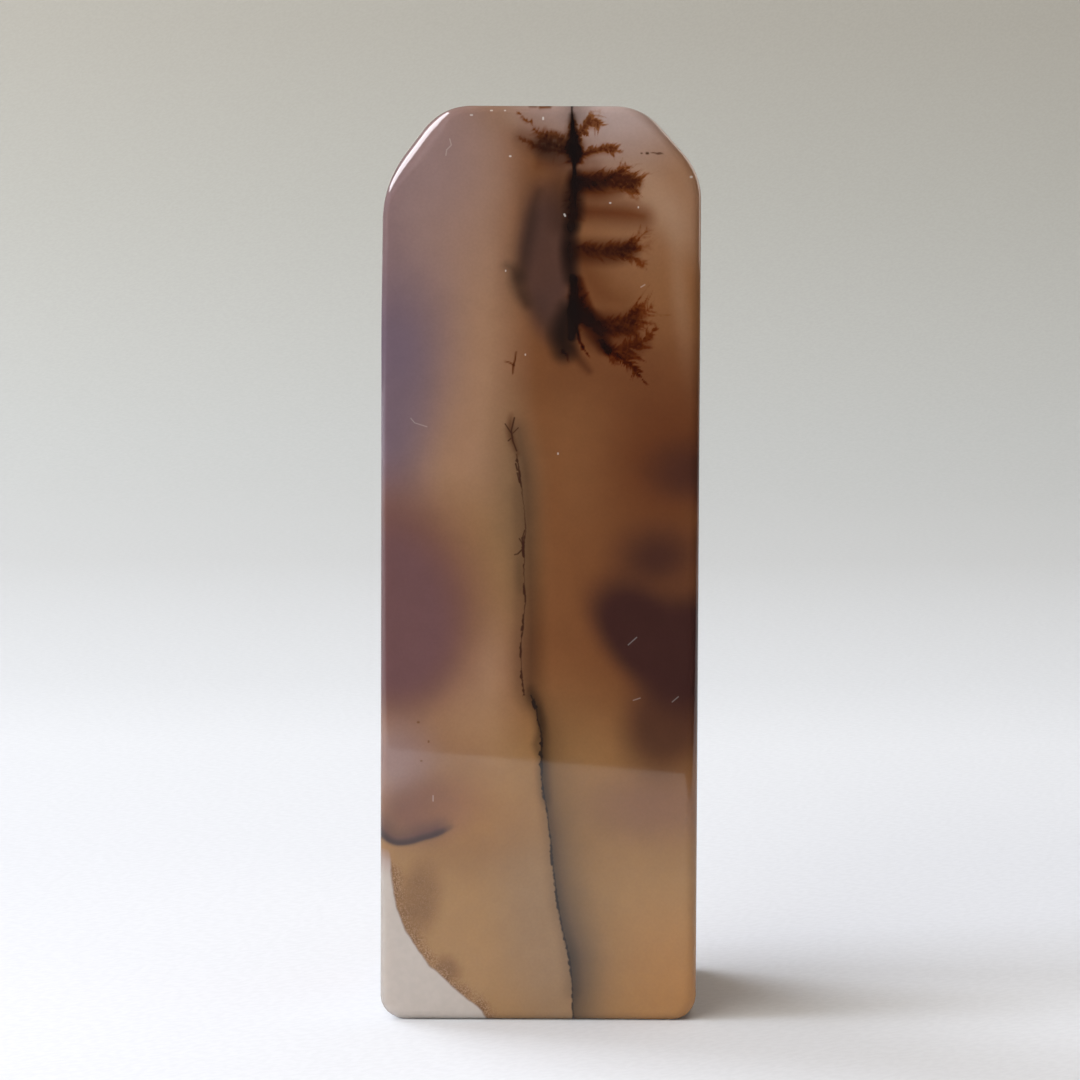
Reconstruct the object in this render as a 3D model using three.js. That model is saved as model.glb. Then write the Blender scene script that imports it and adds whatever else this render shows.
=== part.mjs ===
// A seal stamp cut from one piece of agate: a square block with two bevelled shoulders,
// ground flat underneath where the characters would be carved, and polished all over.
// Millimetres, +Z up. The origin is the middle of the base, and -Y is the front face.

import * as THREE from "three";

// The block
const WIDTH = 20.8;
const DEPTH = 20.8;
const HEIGHT = 60;

// The shoulders, measured from the corners that the cuts take away
const LEFT_SHOULDER_ACROSS = 3.9;
const LEFT_SHOULDER_DOWN = 5;
const RIGHT_SHOULDER_ACROSS = 3.9;
const RIGHT_SHOULDER_DOWN = 4.35;

// Hand polishing drew the left side in a little below its shoulder
const LEFT_TAPER_INSET = 0.12;
const LEFT_TAPER_LENGTH = 9;

// Radii of the outline's corners
const BASE_CORNER_RADIUS = 1.6;
const LEFT_TOP_RADIUS = 3.9;
const RIGHT_TOP_RADIUS = 3.9;
const LEFT_SHOULDER_RADIUS = 7.4;
const RIGHT_SHOULDER_RADIUS = 4.5;

// Radius of the polished edges around the front and back faces
const EDGE_RADIUS = 0.8;

// Flats to half of each arc, and to each rounded edge
const ARC_SEGMENTS = 6;
const EDGE_SEGMENTS = 6;

const AGATE_COLOUR = 0x94714f;
const AGATE_ROUGHNESS = 0.08;
const AGATE_METALNESS = 0;

// The sharp corners of the front outline, anticlockwise from the lower left
function outlineCorners() {
  const half = WIDTH / 2;
  const leftShoulderFoot = HEIGHT - LEFT_SHOULDER_DOWN;
  const drawnIn = -half + LEFT_TAPER_INSET;
  return [
    { at: new THREE.Vector2(-half, 0), radius: BASE_CORNER_RADIUS },
    { at: new THREE.Vector2(half, 0), radius: BASE_CORNER_RADIUS },
    { at: new THREE.Vector2(half, HEIGHT - RIGHT_SHOULDER_DOWN), radius: RIGHT_SHOULDER_RADIUS },
    { at: new THREE.Vector2(half - RIGHT_SHOULDER_ACROSS, HEIGHT), radius: RIGHT_TOP_RADIUS },
    { at: new THREE.Vector2(-half + LEFT_SHOULDER_ACROSS, HEIGHT), radius: LEFT_TOP_RADIUS },
    { at: new THREE.Vector2(drawnIn, leftShoulderFoot), radius: LEFT_SHOULDER_RADIUS },
    { at: new THREE.Vector2(-half, leftShoulderFoot - LEFT_TAPER_LENGTH), radius: 0 },
  ];
}

// A closed outline whose corners are rounded by arcs that meet both sides smoothly.
// A corner of no radius turns so little that it stays a point.
function roundedOutline(corners) {
  const shape = new THREE.Shape();
  corners.forEach(({ at, radius }, index) => {
    if (radius === 0) {
      shape.lineTo(at.x, at.y);
      return;
    }
    const before = corners[(index + corners.length - 1) % corners.length].at;
    const after = corners[(index + 1) % corners.length].at;
    const towards = before.clone().sub(at).normalize();
    const onwards = after.clone().sub(at).normalize();
    const halfAngle = Math.acos(towards.dot(onwards)) / 2;
    const middle = towards.clone().add(onwards).normalize();
    const centre = at.clone().addScaledVector(middle, radius / Math.sin(halfAngle));
    const start = at.clone().addScaledVector(towards, radius / Math.tan(halfAngle));
    const end = at.clone().addScaledVector(onwards, radius / Math.tan(halfAngle));
    const startAngle = Math.atan2(start.y - centre.y, start.x - centre.x);
    const endAngle = Math.atan2(end.y - centre.y, end.x - centre.x);
    shape.absarc(centre.x, centre.y, radius, startAngle, endAngle, false);
  });
  shape.closePath();
  return shape;
}

// The outline carried from front to back, its face edges rounded inside the full size
function blockGeometry() {
  const geometry = new THREE.ExtrudeGeometry(roundedOutline(outlineCorners()), {
    depth: DEPTH - 2 * EDGE_RADIUS,
    curveSegments: ARC_SEGMENTS,
    bevelEnabled: true,
    bevelThickness: EDGE_RADIUS,
    bevelSize: EDGE_RADIUS,
    bevelOffset: -EDGE_RADIUS,
    bevelSegments: EDGE_SEGMENTS,
  });
  geometry.translate(0, 0, EDGE_RADIUS - DEPTH / 2);
  geometry.rotateX(Math.PI / 2);
  return geometry;
}

const sealStone = new THREE.Mesh(
  blockGeometry(),
  new THREE.MeshStandardMaterial({
    color: AGATE_COLOUR,
    roughness: AGATE_ROUGHNESS,
    metalness: AGATE_METALNESS,
  }),
);
sealStone.name = "seal_stone";

const sealStamp = new THREE.Group();
sealStamp.add(sealStone);

export default sealStamp;
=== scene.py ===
import math
from collections import namedtuple

import bpy
import numpy as np
from mathutils import Matrix, Vector


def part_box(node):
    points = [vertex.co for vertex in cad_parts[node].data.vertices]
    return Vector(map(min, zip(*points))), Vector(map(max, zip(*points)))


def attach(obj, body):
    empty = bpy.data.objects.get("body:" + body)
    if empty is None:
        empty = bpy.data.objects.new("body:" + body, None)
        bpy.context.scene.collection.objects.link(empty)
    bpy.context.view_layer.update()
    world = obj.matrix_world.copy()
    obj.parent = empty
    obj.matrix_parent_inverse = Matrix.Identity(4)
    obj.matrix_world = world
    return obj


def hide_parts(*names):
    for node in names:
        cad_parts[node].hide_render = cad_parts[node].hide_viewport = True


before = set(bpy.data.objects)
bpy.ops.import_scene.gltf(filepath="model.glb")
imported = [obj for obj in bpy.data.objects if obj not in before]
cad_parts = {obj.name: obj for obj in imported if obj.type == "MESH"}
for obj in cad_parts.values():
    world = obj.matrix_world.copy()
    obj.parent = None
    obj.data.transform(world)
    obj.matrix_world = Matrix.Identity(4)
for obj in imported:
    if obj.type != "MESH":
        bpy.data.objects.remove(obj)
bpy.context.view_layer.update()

bl_info = {
    "name": "Agate Seal Stone",
    "version": (1, 0, 0),
    "blender": (4, 5, 0),
    "location": "3D Viewport > Sidebar > Agate",
    "description": "Builds a polished seal stamp of dendritic agate and a small studio around it",
    "category": "Add Mesh",
}

STONE_LOW, STONE_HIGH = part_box("seal_stone")

# The scene is in metres. The markings and the sizes below are worked out in millimetres.
MM = 0.001
WIDTH, DEPTH, HEIGHT = ((high - low) / MM for low, high in zip(STONE_LOW, STONE_HIGH))
FRONT = -DEPTH / 2


def linear(hex_colour):
    """Turns an sRGB hex colour into linear red, green, blue and a full alpha."""
    shares = np.array([int(hex_colour[i : i + 2], 16) for i in (0, 2, 4)]) / 255.0
    low = shares / 12.92
    high = ((shares + 0.055) / 1.055) ** 2.4
    return (*np.where(shares <= 0.04045, low, high).tolist(), 1.0)


def length(name, description, millimetres):
    """A length property with its default given in millimetres."""
    return bpy.props.FloatProperty(
        name=name, description=description, default=millimetres * MM, unit="LENGTH", precision=5
    )


def share(name, description, default):
    """A property from 0 to 1."""
    return bpy.props.FloatProperty(
        name=name, description=description, default=default, min=0.0, max=1.0, subtype="FACTOR"
    )


def tint(name, description, hex_colour):
    """A colour property with its default given as sRGB hex."""
    return bpy.props.FloatVectorProperty(
        name=name,
        description=description,
        default=linear(hex_colour),
        size=4,
        subtype="COLOR",
        min=0.0,
        max=1.0,
    )


class StoneShape(bpy.types.PropertyGroup):
    """What the grinding and polishing left of the block."""

    left_shoulder_across: length("Left shoulder across", "Top taken off by the left bevel", 3.9)
    left_shoulder_down: length("Left shoulder down", "Side taken off by the left bevel", 5.0)
    right_shoulder_across: length("Right shoulder across", "Top taken off by the right bevel", 3.9)
    right_shoulder_down: length("Right shoulder down", "Side taken off by the right bevel", 4.35)
    taper_inset: length("Taper inset", "How far polishing drew the left side in", 0.12)
    taper_length: length("Taper length", "Length of the drawn-in stretch", 9.0)
    taper_radius: length("Taper radius", "How gently the drawn-in stretch starts", 200.0)
    base_corner: length("Base corner", "Radius of the two lower corners", 1.6)
    left_top: length("Left top corner", "Radius between the top and the left bevel", 3.9)
    right_top: length("Right top corner", "Radius between the top and the right bevel", 3.9)
    left_shoulder: length("Left shoulder corner", "Radius between the left bevel and side", 7.4)
    right_shoulder: length("Right shoulder corner", "Radius between the right bevel and side", 4.5)
    edge_bevel: length("Left bevel edge", "Radius of the face edges on the left bevel", 1.2)
    edge_left: length("Left edge", "Radius of the face edges on the left side", 0.4)
    edge_right: length("Right edge", "Radius of the face edges on the right side", 0.7)
    edge_top: length("Top edge", "Radius of the face edges along the top", 0.45)
    edge_base: length("Base edge", "Radius of the face edges along the base", 0.6)


class StoneColours(bpy.types.PropertyGroup):
    """The chalcedony's colours, each a cloud over the ones before it, then its growths and flaws."""

    honey: tint("Honey", "Ground colour of the chalcedony", "7C4F2F")
    tan: tint("Tan", "Milky band down the left half", "A07A5F")
    straw: tint("Straw", "Duller part of the milky band", "926B45")
    ochre: tint("Ochre", "Warm stone under the top right", "8C5F3C")
    milk: tint("Milk", "Milky streaks down the right side", "C2A58C")
    sand: tint("Sand", "Lighter ground towards the foot", "9F794F")
    mauve: tint("Mauve", "Cool haze at the left shoulder", "957A76")
    blush: tint("Blush", "Pale haze at the top right", "B7A29C")
    violet: tint("Violet", "Cool cloud on the upper left side", "74616C")
    moss: tint("Moss", "Olive tinge left of the vein", "806346")
    fog: tint("Fog", "Greyish stone along the foot of the vein", "8E7258")
    rust: tint("Rust", "Iron stain on the right side", "64371E")
    russet: tint("Russet", "Halo of the plum cloud", "785246")
    plum: tint("Plum", "Dark cloud on the left side", "6E4E4F")
    oxblood: tint("Oxblood", "Darkest cloud on the right side", "3E231F")
    # Painted light: the first amber cloud is a glow of light through the stone's lower right corner,
    # painted into the colour
    amber: tint("Amber", "Clear glow in the lower right corner", "AA7844")
    umber: tint("Umber", "Shaded stone inside the upper growth", "523830")
    smoke: tint("Smoke", "Grey haze around the black growth and the vein", "2E2628")
    sepia: tint("Sepia", "Brown mineral of the upper vein and its twigs", "3A2015")
    seam: tint("Seam", "The thread of black mineral in the vein", "241A16")
    crust: tint("Crust", "Pale opaque quartz in the lower left corner", "BCB1A9")
    rind: tint("Rind", "Dark line over the pale corner", "4A3338")
    grain: tint("Grain", "Brown grains along the pale corner", "6A4526")
    flush: tint("Flush", "Pinkish top of the pale corner", "A48A80")
    soot: tint("Soot", "Black of the manganese growths", "150D0C")
    dust: tint("Dust", "Dust and fine scratches on the polish", "E6E0DA")


class StoneFinish(bpy.types.PropertyGroup):
    """The polish of the stone, and the strength of the painted shade and light on its edges."""

    roughness: share("Roughness", "Roughness of the polished faces", 0.03)
    depth: share("Depth of light", "Share of the light that goes into the stone before it returns", 0.3)
    # Painted shade and light: the colour is darkened on the edges turned to the windows and lightened on
    # those turned away
    painted_edge_strength: share("Edge loss", "Share of the light lost at the edges turned to the windows", 0.5)
    scatter: length("Scatter", "How far light travels inside the stone", 1.5)


class StageSettings(bpy.types.PropertyGroup):
    """The paper sweep, the lights and the camera."""

    paper_front: length("Paper front", "Distance from the stone to the front edge of the paper", 128.8)
    paper_turn: bpy.props.FloatProperty(
        name="Paper turn",
        description="How the paper's front edge is turned",
        default=math.radians(32),
        subtype="ANGLE",
    )
    paper_flat: length("Paper flat", "Distance behind the stone that the paper lies flat", 400.0)
    paper_sweep: length("Paper sweep", "Radius of the paper's rise", 500.0)
    camera_height: length("Camera height", "Height of the camera over the paper", 60.0)
    camera_distance: length("Camera distance", "Distance of the camera before the stone's face", 320.0)
    camera_pitch: bpy.props.FloatProperty(
        name="Camera pitch",
        description="How far the camera looks down",
        default=math.radians(5.042),
        subtype="ANGLE",
    )
    camera_roll: bpy.props.FloatProperty(
        name="Camera roll",
        description="How far the camera leans",
        default=math.radians(0.22),
        subtype="ANGLE",
    )
    camera_lens: bpy.props.FloatProperty(
        name="Camera lens", description="Focal length in millimetres on a 36 mm sensor", default=163.97
    )


# The outline


def stone_corners(shape):
    """Sharp corners of the front outline and their radii, anticlockwise from the lower left, in mm."""
    half = WIDTH / 2
    left_foot = HEIGHT - shape.left_shoulder_down / MM
    corners = [
        (-half, 0.0, shape.base_corner),
        (half, 0.0, shape.base_corner),
        (half, HEIGHT - shape.right_shoulder_down / MM, shape.right_shoulder),
        (half - shape.right_shoulder_across / MM, HEIGHT, shape.right_top),
        (-half + shape.left_shoulder_across / MM, HEIGHT, shape.left_top),
        (-half + shape.taper_inset / MM, left_foot, shape.left_shoulder),
        (-half, left_foot - shape.taper_length / MM, shape.taper_radius),
    ]
    return np.array([(x, z, radius / MM) for x, z, radius in corners])


def turned(vectors, angles):
    """Flat vectors turned anticlockwise by their angles."""
    cos, sin = np.cos(angles), np.sin(angles)
    x, z = vectors[:, 0], vectors[:, 1]
    return np.stack([x * cos - z * sin, x * sin + z * cos], axis=1)


class RoundedOutline:
    """A closed outline of straight sides joined by arcs, each tangent to both sides of its corner.

    An arc starts before its corner by its radius times the tangent of half the turn. A point is
    found from its distance along the outline: its arc's centre, plus the arc's radius along the
    outward direction turned so far, plus what is left of the distance along the side after it.
    """

    def __init__(self, corners):
        at, self.radius = corners[:, :2], corners[:, 2]
        side = np.roll(at, -1, axis=0) - at
        side_length = np.hypot(*side.T)
        self.leaving = side / side_length[:, None]
        coming = np.roll(self.leaving, 1, axis=0)
        cross = coming[:, 0] * self.leaving[:, 1] - coming[:, 1] * self.leaving[:, 0]
        self.turn = np.arctan2(cross, (coming * self.leaving).sum(axis=1))
        reach = self.radius * np.tan(self.turn / 2)
        self.outward = np.stack([coming[:, 1], -coming[:, 0]], axis=1)
        self.centre = at - coming * reach[:, None] - self.outward * self.radius[:, None]
        self.arc = self.radius * self.turn
        self.straight = side_length - reach - np.roll(reach, -1)
        lengths = np.stack([self.arc, self.straight], axis=1).ravel()
        self.total = lengths.sum()
        self.starts = np.concatenate([[0.0], np.cumsum(lengths)[:-1]])

    def middle_of_arc(self, corner):
        """Distance of the middle of a corner's arc."""
        return self.starts[2 * corner] + self.arc[corner] / 2

    def at(self, distance):
        """Points and outward directions at the given distances."""
        distance = np.mod(distance, self.total)
        stretch = np.searchsorted(self.starts, distance, side="right") - 1
        corner = stretch // 2
        beyond = distance - self.starts[stretch]
        on_arc = stretch % 2 == 0
        bend = np.where(on_arc, beyond / self.radius[corner], self.turn[corner])
        outward = turned(self.outward[corner], bend)
        points = self.centre[corner] + outward * self.radius[corner][:, None]
        points += self.leaving[corner] * np.where(on_arc, 0.0, beyond)[:, None]
        return points, outward


def ease(value):
    """0 to 1 with a soft start and end."""
    value = np.clip(value, 0.0, 1.0)
    return value * value * (3.0 - 2.0 * value)


def stepped(value, low, high):
    """0 where the value is low, 1 where it is high, and a soft step between them."""
    return ease((value - low) / (high - low))


# Where the face edge's radius changes: from the left side's to the right side's by the share of the
# half width across, and to the bevel's, the top's and the base's by how steeply the outline faces up
# or down
ACROSS_TURN = (-0.9, 0.9)
BEVEL_TURN = (0.16, 0.6)
TOP_TURN = (0.7, 1.0)
BASE_TURN = (0.3, 1.0)


def edge_radius(points, outward, shape):
    """Radius of the polished face edge at each outline point, in mm: the left and right sides' own
    radii by the place across, eased into the left bevel's, the top's and the base's around the
    corners."""
    rightwards = stepped(points[:, 0] / (WIDTH / 2), *ACROSS_TURN)
    bevelled = stepped(outward[:, 1], *BEVEL_TURN)
    upwards = stepped(outward[:, 1], *TOP_TURN)
    downwards = stepped(-outward[:, 1], *BASE_TURN)
    left = shape.edge_left + (shape.edge_bevel - shape.edge_left) * bevelled
    sides = left + (shape.edge_right - left) * rightwards
    sides = sides + (shape.edge_top - sides) * upwards
    return (sides + (shape.edge_base - sides) * downwards) / MM


# The mesh

# The front face's grid is finer where the growth is drawn. Spans and spacings in mm.
FINE_ACROSS = (-2.4, 8.3)
FINE_UP = 41.0
FINE_COLUMNS = 132
COLUMNS = 159
FINE_ROWS = 246
ROWS = 348
EDGE_STEPS = 6
BACK_EDGE_STEPS = 5
SIDE_STEPS = 36
# The sides and back have one vertex for three of the front face's edge, and start this far behind it
THIN_OUT = 3
SIDE_START = 1.6


def graded(low, high, fine, count, fine_count):
    """Shares from 0 to 1 of the way from low to high, closer together inside the fine span."""
    outside = count - fine_count
    before = round(outside * (fine[0] - low) / ((fine[0] - low) + (high - fine[1]) + 1e-9))
    stretches = [
        np.linspace(low, fine[0], before, endpoint=False),
        np.linspace(fine[0], fine[1], fine_count, endpoint=fine[1] >= high),
        np.linspace(fine[1], high, outside - before + 1) if fine[1] < high else [],
    ]
    places = np.concatenate(stretches)
    places = np.interp(np.linspace(0.0, 1.0, count + 1), np.linspace(0.0, 1.0, len(places)), places)
    return (places - low) / (high - low)


def grid_corners(outline):
    """Distances of the face grid's corners: the middles of the outline's two lower and two top arcs,
    anticlockwise from the lower left and back to it."""
    return [*(outline.middle_of_arc(k) for k in (0, 1, 3, 4)), outline.middle_of_arc(0) + outline.total]


def loop_distances(outline, across, up):
    """Distances of the vertices around the outline: the four sides of the face's grid in turn."""
    corners = grid_corners(outline)
    shares = [across, up, 1.0 - across[::-1], 1.0 - up[::-1]]
    sides = [low + (high - low) * part[:-1] for low, high, part in zip(corners, corners[1:], shares)]
    return np.concatenate(sides)


def loop_order(columns, rows):
    """Grid indices of the patch's border, in the order of loop_distances. The grid's index of
    column i and row j is j (columns + 1) + i."""
    stride = columns + 1
    i, j = np.arange(columns), np.arange(rows)
    return np.concatenate([i, j * stride + columns, rows * stride + columns - i, (rows - j) * stride])


def filled_patch(loop, across, up):
    """A Coons patch: each grid point is its place between the left and right borders, plus its place
    between the lower and upper borders, less its place between the four corners."""
    columns, rows = len(across) - 1, len(up) - 1
    lower = loop[: columns + 1]
    right = loop[columns : columns + rows + 1]
    upper = loop[columns + rows : 2 * columns + rows + 1][::-1]
    left = np.concatenate([loop[2 * columns + rows :], loop[:1]])[::-1]
    u, v = across[None, :, None], up[:, None, None]
    between_sides = (1 - u) * left[:, None] + u * right[:, None]
    between_ends = (1 - v) * lower[None] + v * upper[None]
    between_corners = (1 - u) * (1 - v) * lower[0] + u * (1 - v) * lower[-1]
    between_corners = between_corners + (1 - u) * v * upper[0] + u * v * upper[-1]
    return (between_sides + between_ends - between_corners).reshape(-1, 2)


def grid_faces(columns, rows):
    """Quads of a grid, anticlockwise where columns run right and rows run up."""
    i, j = np.meshgrid(np.arange(columns), np.arange(rows))
    first = (j * (columns + 1) + i).ravel()
    return np.stack([first, first + 1, first + columns + 2, first + columns + 1], axis=1)


def band_faces(near, far):
    """Quads between two closed loops of vertices, the far one further back."""
    return np.stack([near, far, np.roll(far, -1), np.roll(near, -1)], axis=1)


def thinning_faces(near, far):
    """Triangles between a closed loop and one with a third of its vertices, further back."""
    a = near.reshape(-1, THIN_OUT)
    b = np.roll(near, -THIN_OUT).reshape(-1, THIN_OUT)[:, 0]
    onward = np.roll(far, -1)
    return np.concatenate([
        np.stack([a[:, 0], far, a[:, 1]], axis=1),
        np.stack([a[:, 1], far, a[:, 2]], axis=1),
        np.stack([a[:, 2], far, onward], axis=1),
        np.stack([a[:, 2], onward, b], axis=1),
    ])


def ring(points, outward, radius, angle, face, inwards):
    """A loop on the rounded edge: drawn in from the outline by the radius times one less the sine of
    the angle, and set back from the face by the radius times one less its cosine."""
    flat = points - outward * (radius * (1 - math.sin(angle)))[:, None]
    back = face + inwards * radius * (1 - math.cos(angle))
    return np.stack([flat[:, 0], back, flat[:, 1]], axis=1)


def stone_mesh(shape):
    """Vertices in mm and faces of the whole stone: a front patch, a rounded edge, the sides in
    coarser steps, the back edge and the back patch."""
    outline = RoundedOutline(stone_corners(shape))
    across = graded(-WIDTH / 2, WIDTH / 2, FINE_ACROSS, COLUMNS, FINE_COLUMNS)
    base, right, top, left, back = grid_corners(outline)
    side = (top - right + back - left) / 2
    up = graded(0.0, side, (FINE_UP, side), ROWS, FINE_ROWS)
    fine_points, fine_outward = outline.at(loop_distances(outline, across, up))
    radius = edge_radius(fine_points, fine_outward, shape)
    points, outward, back_radius = fine_points[::THIN_OUT], fine_outward[::THIN_OUT], radius[::THIN_OUT]
    vertices, faces = [], []

    def put(places):
        start = sum(len(v) for v in vertices)
        vertices.append(places)
        return np.arange(start, start + len(places))

    def face_patch(loop, across, up, y):
        flat = filled_patch(loop, across, up)
        return put(np.stack([flat[:, 0], np.full(len(flat), y), flat[:, 1]], axis=1))

    inner = fine_points - fine_outward * radius[:, None]
    patch = face_patch(inner, across, up, FRONT)
    faces.append(patch[grid_faces(COLUMNS, ROWS)])
    near = patch[loop_order(COLUMNS, ROWS)]
    for angle in np.linspace(0.0, math.pi / 2, EDGE_STEPS + 1)[1:]:
        far = put(ring(fine_points, fine_outward, radius, angle, FRONT, 1.0))
        faces.append(band_faces(near, far))
        near = far
    for step, y in enumerate(np.linspace(FRONT + SIDE_START, -FRONT - SIDE_START, SIDE_STEPS + 1)):
        far = put(np.stack([points[:, 0], np.full(len(points), y), points[:, 1]], axis=1))
        faces.append(band_faces(near, far) if step else thinning_faces(near, far))
        near = far
    for angle in np.linspace(math.pi / 2, 0.0, BACK_EDGE_STEPS + 1)[:-1]:
        far = put(ring(points, outward, back_radius, angle, -FRONT, -1.0))
        faces.append(band_faces(near, far))
        near = far
    inner = points - outward * back_radius[:, None]
    patch = face_patch(inner, across[::THIN_OUT], up[::THIN_OUT], -FRONT)
    faces.append(band_faces(near, patch[loop_order(COLUMNS // THIN_OUT, ROWS // THIN_OUT)]))
    faces.append(patch[grid_faces(COLUMNS // THIN_OUT, ROWS // THIN_OUT)][:, ::-1])
    return np.concatenate(vertices), faces


# The markings

# A cloud is a tilted ellipse: its centre, its reach across and along, its tilt in degrees, the share
# of its reach over which its rim fades, and its strength. Millimetres on the front face. Places and
# colours were corrected from the measured colours of small patches in the photo and in the render.
Cloud = namedtuple("Cloud", "x z across along tilt edge strength")

CLOUDS = {
    "tan": [
        Cloud(-7.4, 30.0, 5.6, 70.0, 0, 0.36, 1.0),
        Cloud(9.0, 54.6, 4.6, 5.0, 0, 0.75, 0.95),
    ],
    "ochre": [
        Cloud(9.6, 47.6, 4.6, 4.6, 0, 0.7, 0.8),
        Cloud(4.4, 51.6, 3.4, 1.4, 0, 0.8, 0.4),
        Cloud(9.4, 55.6, 2.2, 2.6, 20, 0.8, 0.2),
        Cloud(3.2, 38.5, 2.6, 4.5, 0, 0.9, 0.25),
    ],
    "milk": [
        Cloud(8.15, 53.2, 1.0, 3.0, 32, 0.9, 0.22),
        Cloud(9.0, 47.4, 0.5, 4.5, 5, 0.9, 0.12),
    ],
    "straw": [
        Cloud(-4.4, 30.0, 3.5, 4.5, 0, 0.7, 0.8),
        Cloud(-3.2, 59.6, 1.6, 1.2, 0, 0.8, 0.6),
    ],
    "sand": [Cloud(0.0, 3.0, 16.0, 16.0, 0, 0.38, 0.97)],
    "mauve": [
        Cloud(-8.7, 58.5, 4.8, 10.0, 0, 0.8, 1.0),
        Cloud(-9.4, 17.2, 2.2, 2.8, 0, 0.8, 0.9),
    ],
    "blush": [
        Cloud(4.7, 62.4, 5.0, 5.0, 0, 0.65, 1.0),
        Cloud(-0.8, 60.5, 1.8, 1.8, 0, 0.8, 0.35),
    ],
    "violet": [
        Cloud(-9.8, 44.0, 3.4, 5.6, 0, 0.9, 1.0),
        Cloud(-10.4, 37.3, 2.6, 6.0, 0, 0.8, 0.9),
        Cloud(-11.2, 52.0, 2.2, 8.0, 0, 0.8, 0.4),
    ],
    "moss": [Cloud(-1.9, 35.0, 1.6, 5.5, 0, 0.8, 0.65)],
    "fog": [Cloud(0.6, 5.5, 2.6, 8.5, 12, 0.8, 0.7)],
    "rust": [
        Cloud(8.6, 37.6, 4.0, 4.6, 0, 0.8, 0.95),
        Cloud(8.4, 27.0, 5.6, 9.0, 0, 0.5, 0.4),
        Cloud(5.0, 43.4, 5.0, 2.8, 0, 0.8, 0.45),
        Cloud(-5.2, 12.7, 4.0, 3.0, 0, 0.8, 0.38),
        Cloud(5.8, 13.8, 5.0, 3.2, 0, 0.8, 0.25),
    ],
    "russet": [
        Cloud(-9.0, 27.8, 5.0, 7.2, 8, 0.42, 0.95),
        Cloud(-7.3, 14.0, 3.2, 1.9, 10, 0.6, 0.95),
        Cloud(-6.2, 17.2, 2.6, 2.2, 0, 0.9, 0.35),
        Cloud(7.6, 14.2, 3.4, 1.8, 0, 0.8, 0.5),
    ],
    "plum": [Cloud(-10.0, 26.9, 4.4, 6.2, 8, 0.32, 0.95)],
    "oxblood": [
        Cloud(9.7, 36.4, 2.4, 1.7, 0, 0.8, 0.7),
        Cloud(7.8, 30.6, 2.4, 1.9, 0, 0.9, 0.85),
        Cloud(6.9, 25.4, 2.7, 4.4, 40, 0.35, 1.0),
        Cloud(9.8, 24.3, 3.0, 3.9, 0, 0.4, 1.0),
        Cloud(8.2, 19.7, 2.6, 3.2, 0, 0.55, 0.75),
    ],
    # The first is a painted glow of light through the lower right corner
    "amber": [
        Cloud(9.6, 2.2, 4.2, 4.5, 0, 0.9, 0.8),
        Cloud(-3.8, 13.8, 3.2, 2.4, 0, 0.9, 0.35),
    ],
    "umber": [
        Cloud(0.35, 50.2, 1.8, 4.6, 0, 0.4, 0.9),
        Cloud(0.9, 54.0, 1.5, 1.6, 0, 0.9, 0.3),
        Cloud(0.9, 46.8, 1.3, 2.0, 0, 0.6, 0.6),
    ],
    "grain": [
        Cloud(-8, 7.85, 1.3, 2.2, -12, 0.6, 0.5),
        Cloud(-6, 3.4, 0.6, 0.9, 40, 0.6, 0.5),
    ],
    "smoke": [
        Cloud(-0.6, 53.0, 0.8, 2.6, 8, 0.9, 0.2),
        Cloud(-1.7, 49.6, 0.9, 2.2, -12, 0.9, 0.2),
        Cloud(-0.1, 47.0, 0.6, 1.6, 40, 0.9, 0.15),
    ],
}

# How many cells the noise has each way before it repeats
LATTICE = 32


def lattice_noise(points, grain, seed):
    """Smooth noise from -1 to 1: random numbers on a cubic lattice, blended along each axis."""
    numbers = np.random.default_rng(seed).random((LATTICE, LATTICE, LATTICE))
    cell = points / grain
    low = np.floor(cell).astype(int)
    part = ease(cell - low)
    total = np.zeros(len(points))
    for corner in np.ndindex(2, 2, 2):
        weight = np.prod(np.where(corner, part, 1.0 - part), axis=1)
        total += weight * numbers[tuple(((low + corner) % LATTICE).T)]
    return 2.0 * total - 1.0


# From the front face to the back the pattern leans inwards by a share of the place across, and up.
# It wanders a little at the front and more towards the back, in grains of one size across and
# another along. Millimetres.
LEAN_IN = 0.3
LEAN_UP = 2.0
FRONT_DRIFT = 0.22
DEEP_DRIFT = 2.4
DRIFT_GRAIN_ACROSS = 4.0
DRIFT_GRAIN_ALONG = 5.0


def folded(points):
    """Where each point's marking is looked up on the front face: the pattern leans inwards and up
    with depth, and wanders more the deeper it lies."""
    depth = np.clip((points[:, 1] - FRONT) / DEPTH, 0.0, 1.0)
    drift = FRONT_DRIFT + DEEP_DRIFT * depth
    x = points[:, 0] * (1.0 - LEAN_IN * depth) + drift * lattice_noise(points, DRIFT_GRAIN_ACROSS, 1)
    z = points[:, 2] + LEAN_UP * depth + drift * lattice_noise(points, DRIFT_GRAIN_ALONG, 2)
    return x, z


def cloud_cover(x, z, cloud):
    """1 inside the cloud's ellipse, eased to 0 across its rim."""
    turn = math.radians(cloud.tilt)
    across = (x - cloud.x) * math.cos(turn) + (z - cloud.z) * math.sin(turn)
    along = (z - cloud.z) * math.cos(turn) - (x - cloud.x) * math.sin(turn)
    radius = np.hypot(across / cloud.across, along / cloud.along)
    return cloud.strength * stepped(radius, 1.0 + cloud.edge, 1.0 - cloud.edge)


def cloud_amounts(x, z):
    """Each cloud colour's amount: one less the product of what each of its clouds leaves clear."""
    return {
        name: 1.0 - np.prod([1.0 - cloud_cover(x, z, cloud) for cloud in clouds], axis=0)
        for name, clouds in CLOUDS.items()
    }


# The growths

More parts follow.
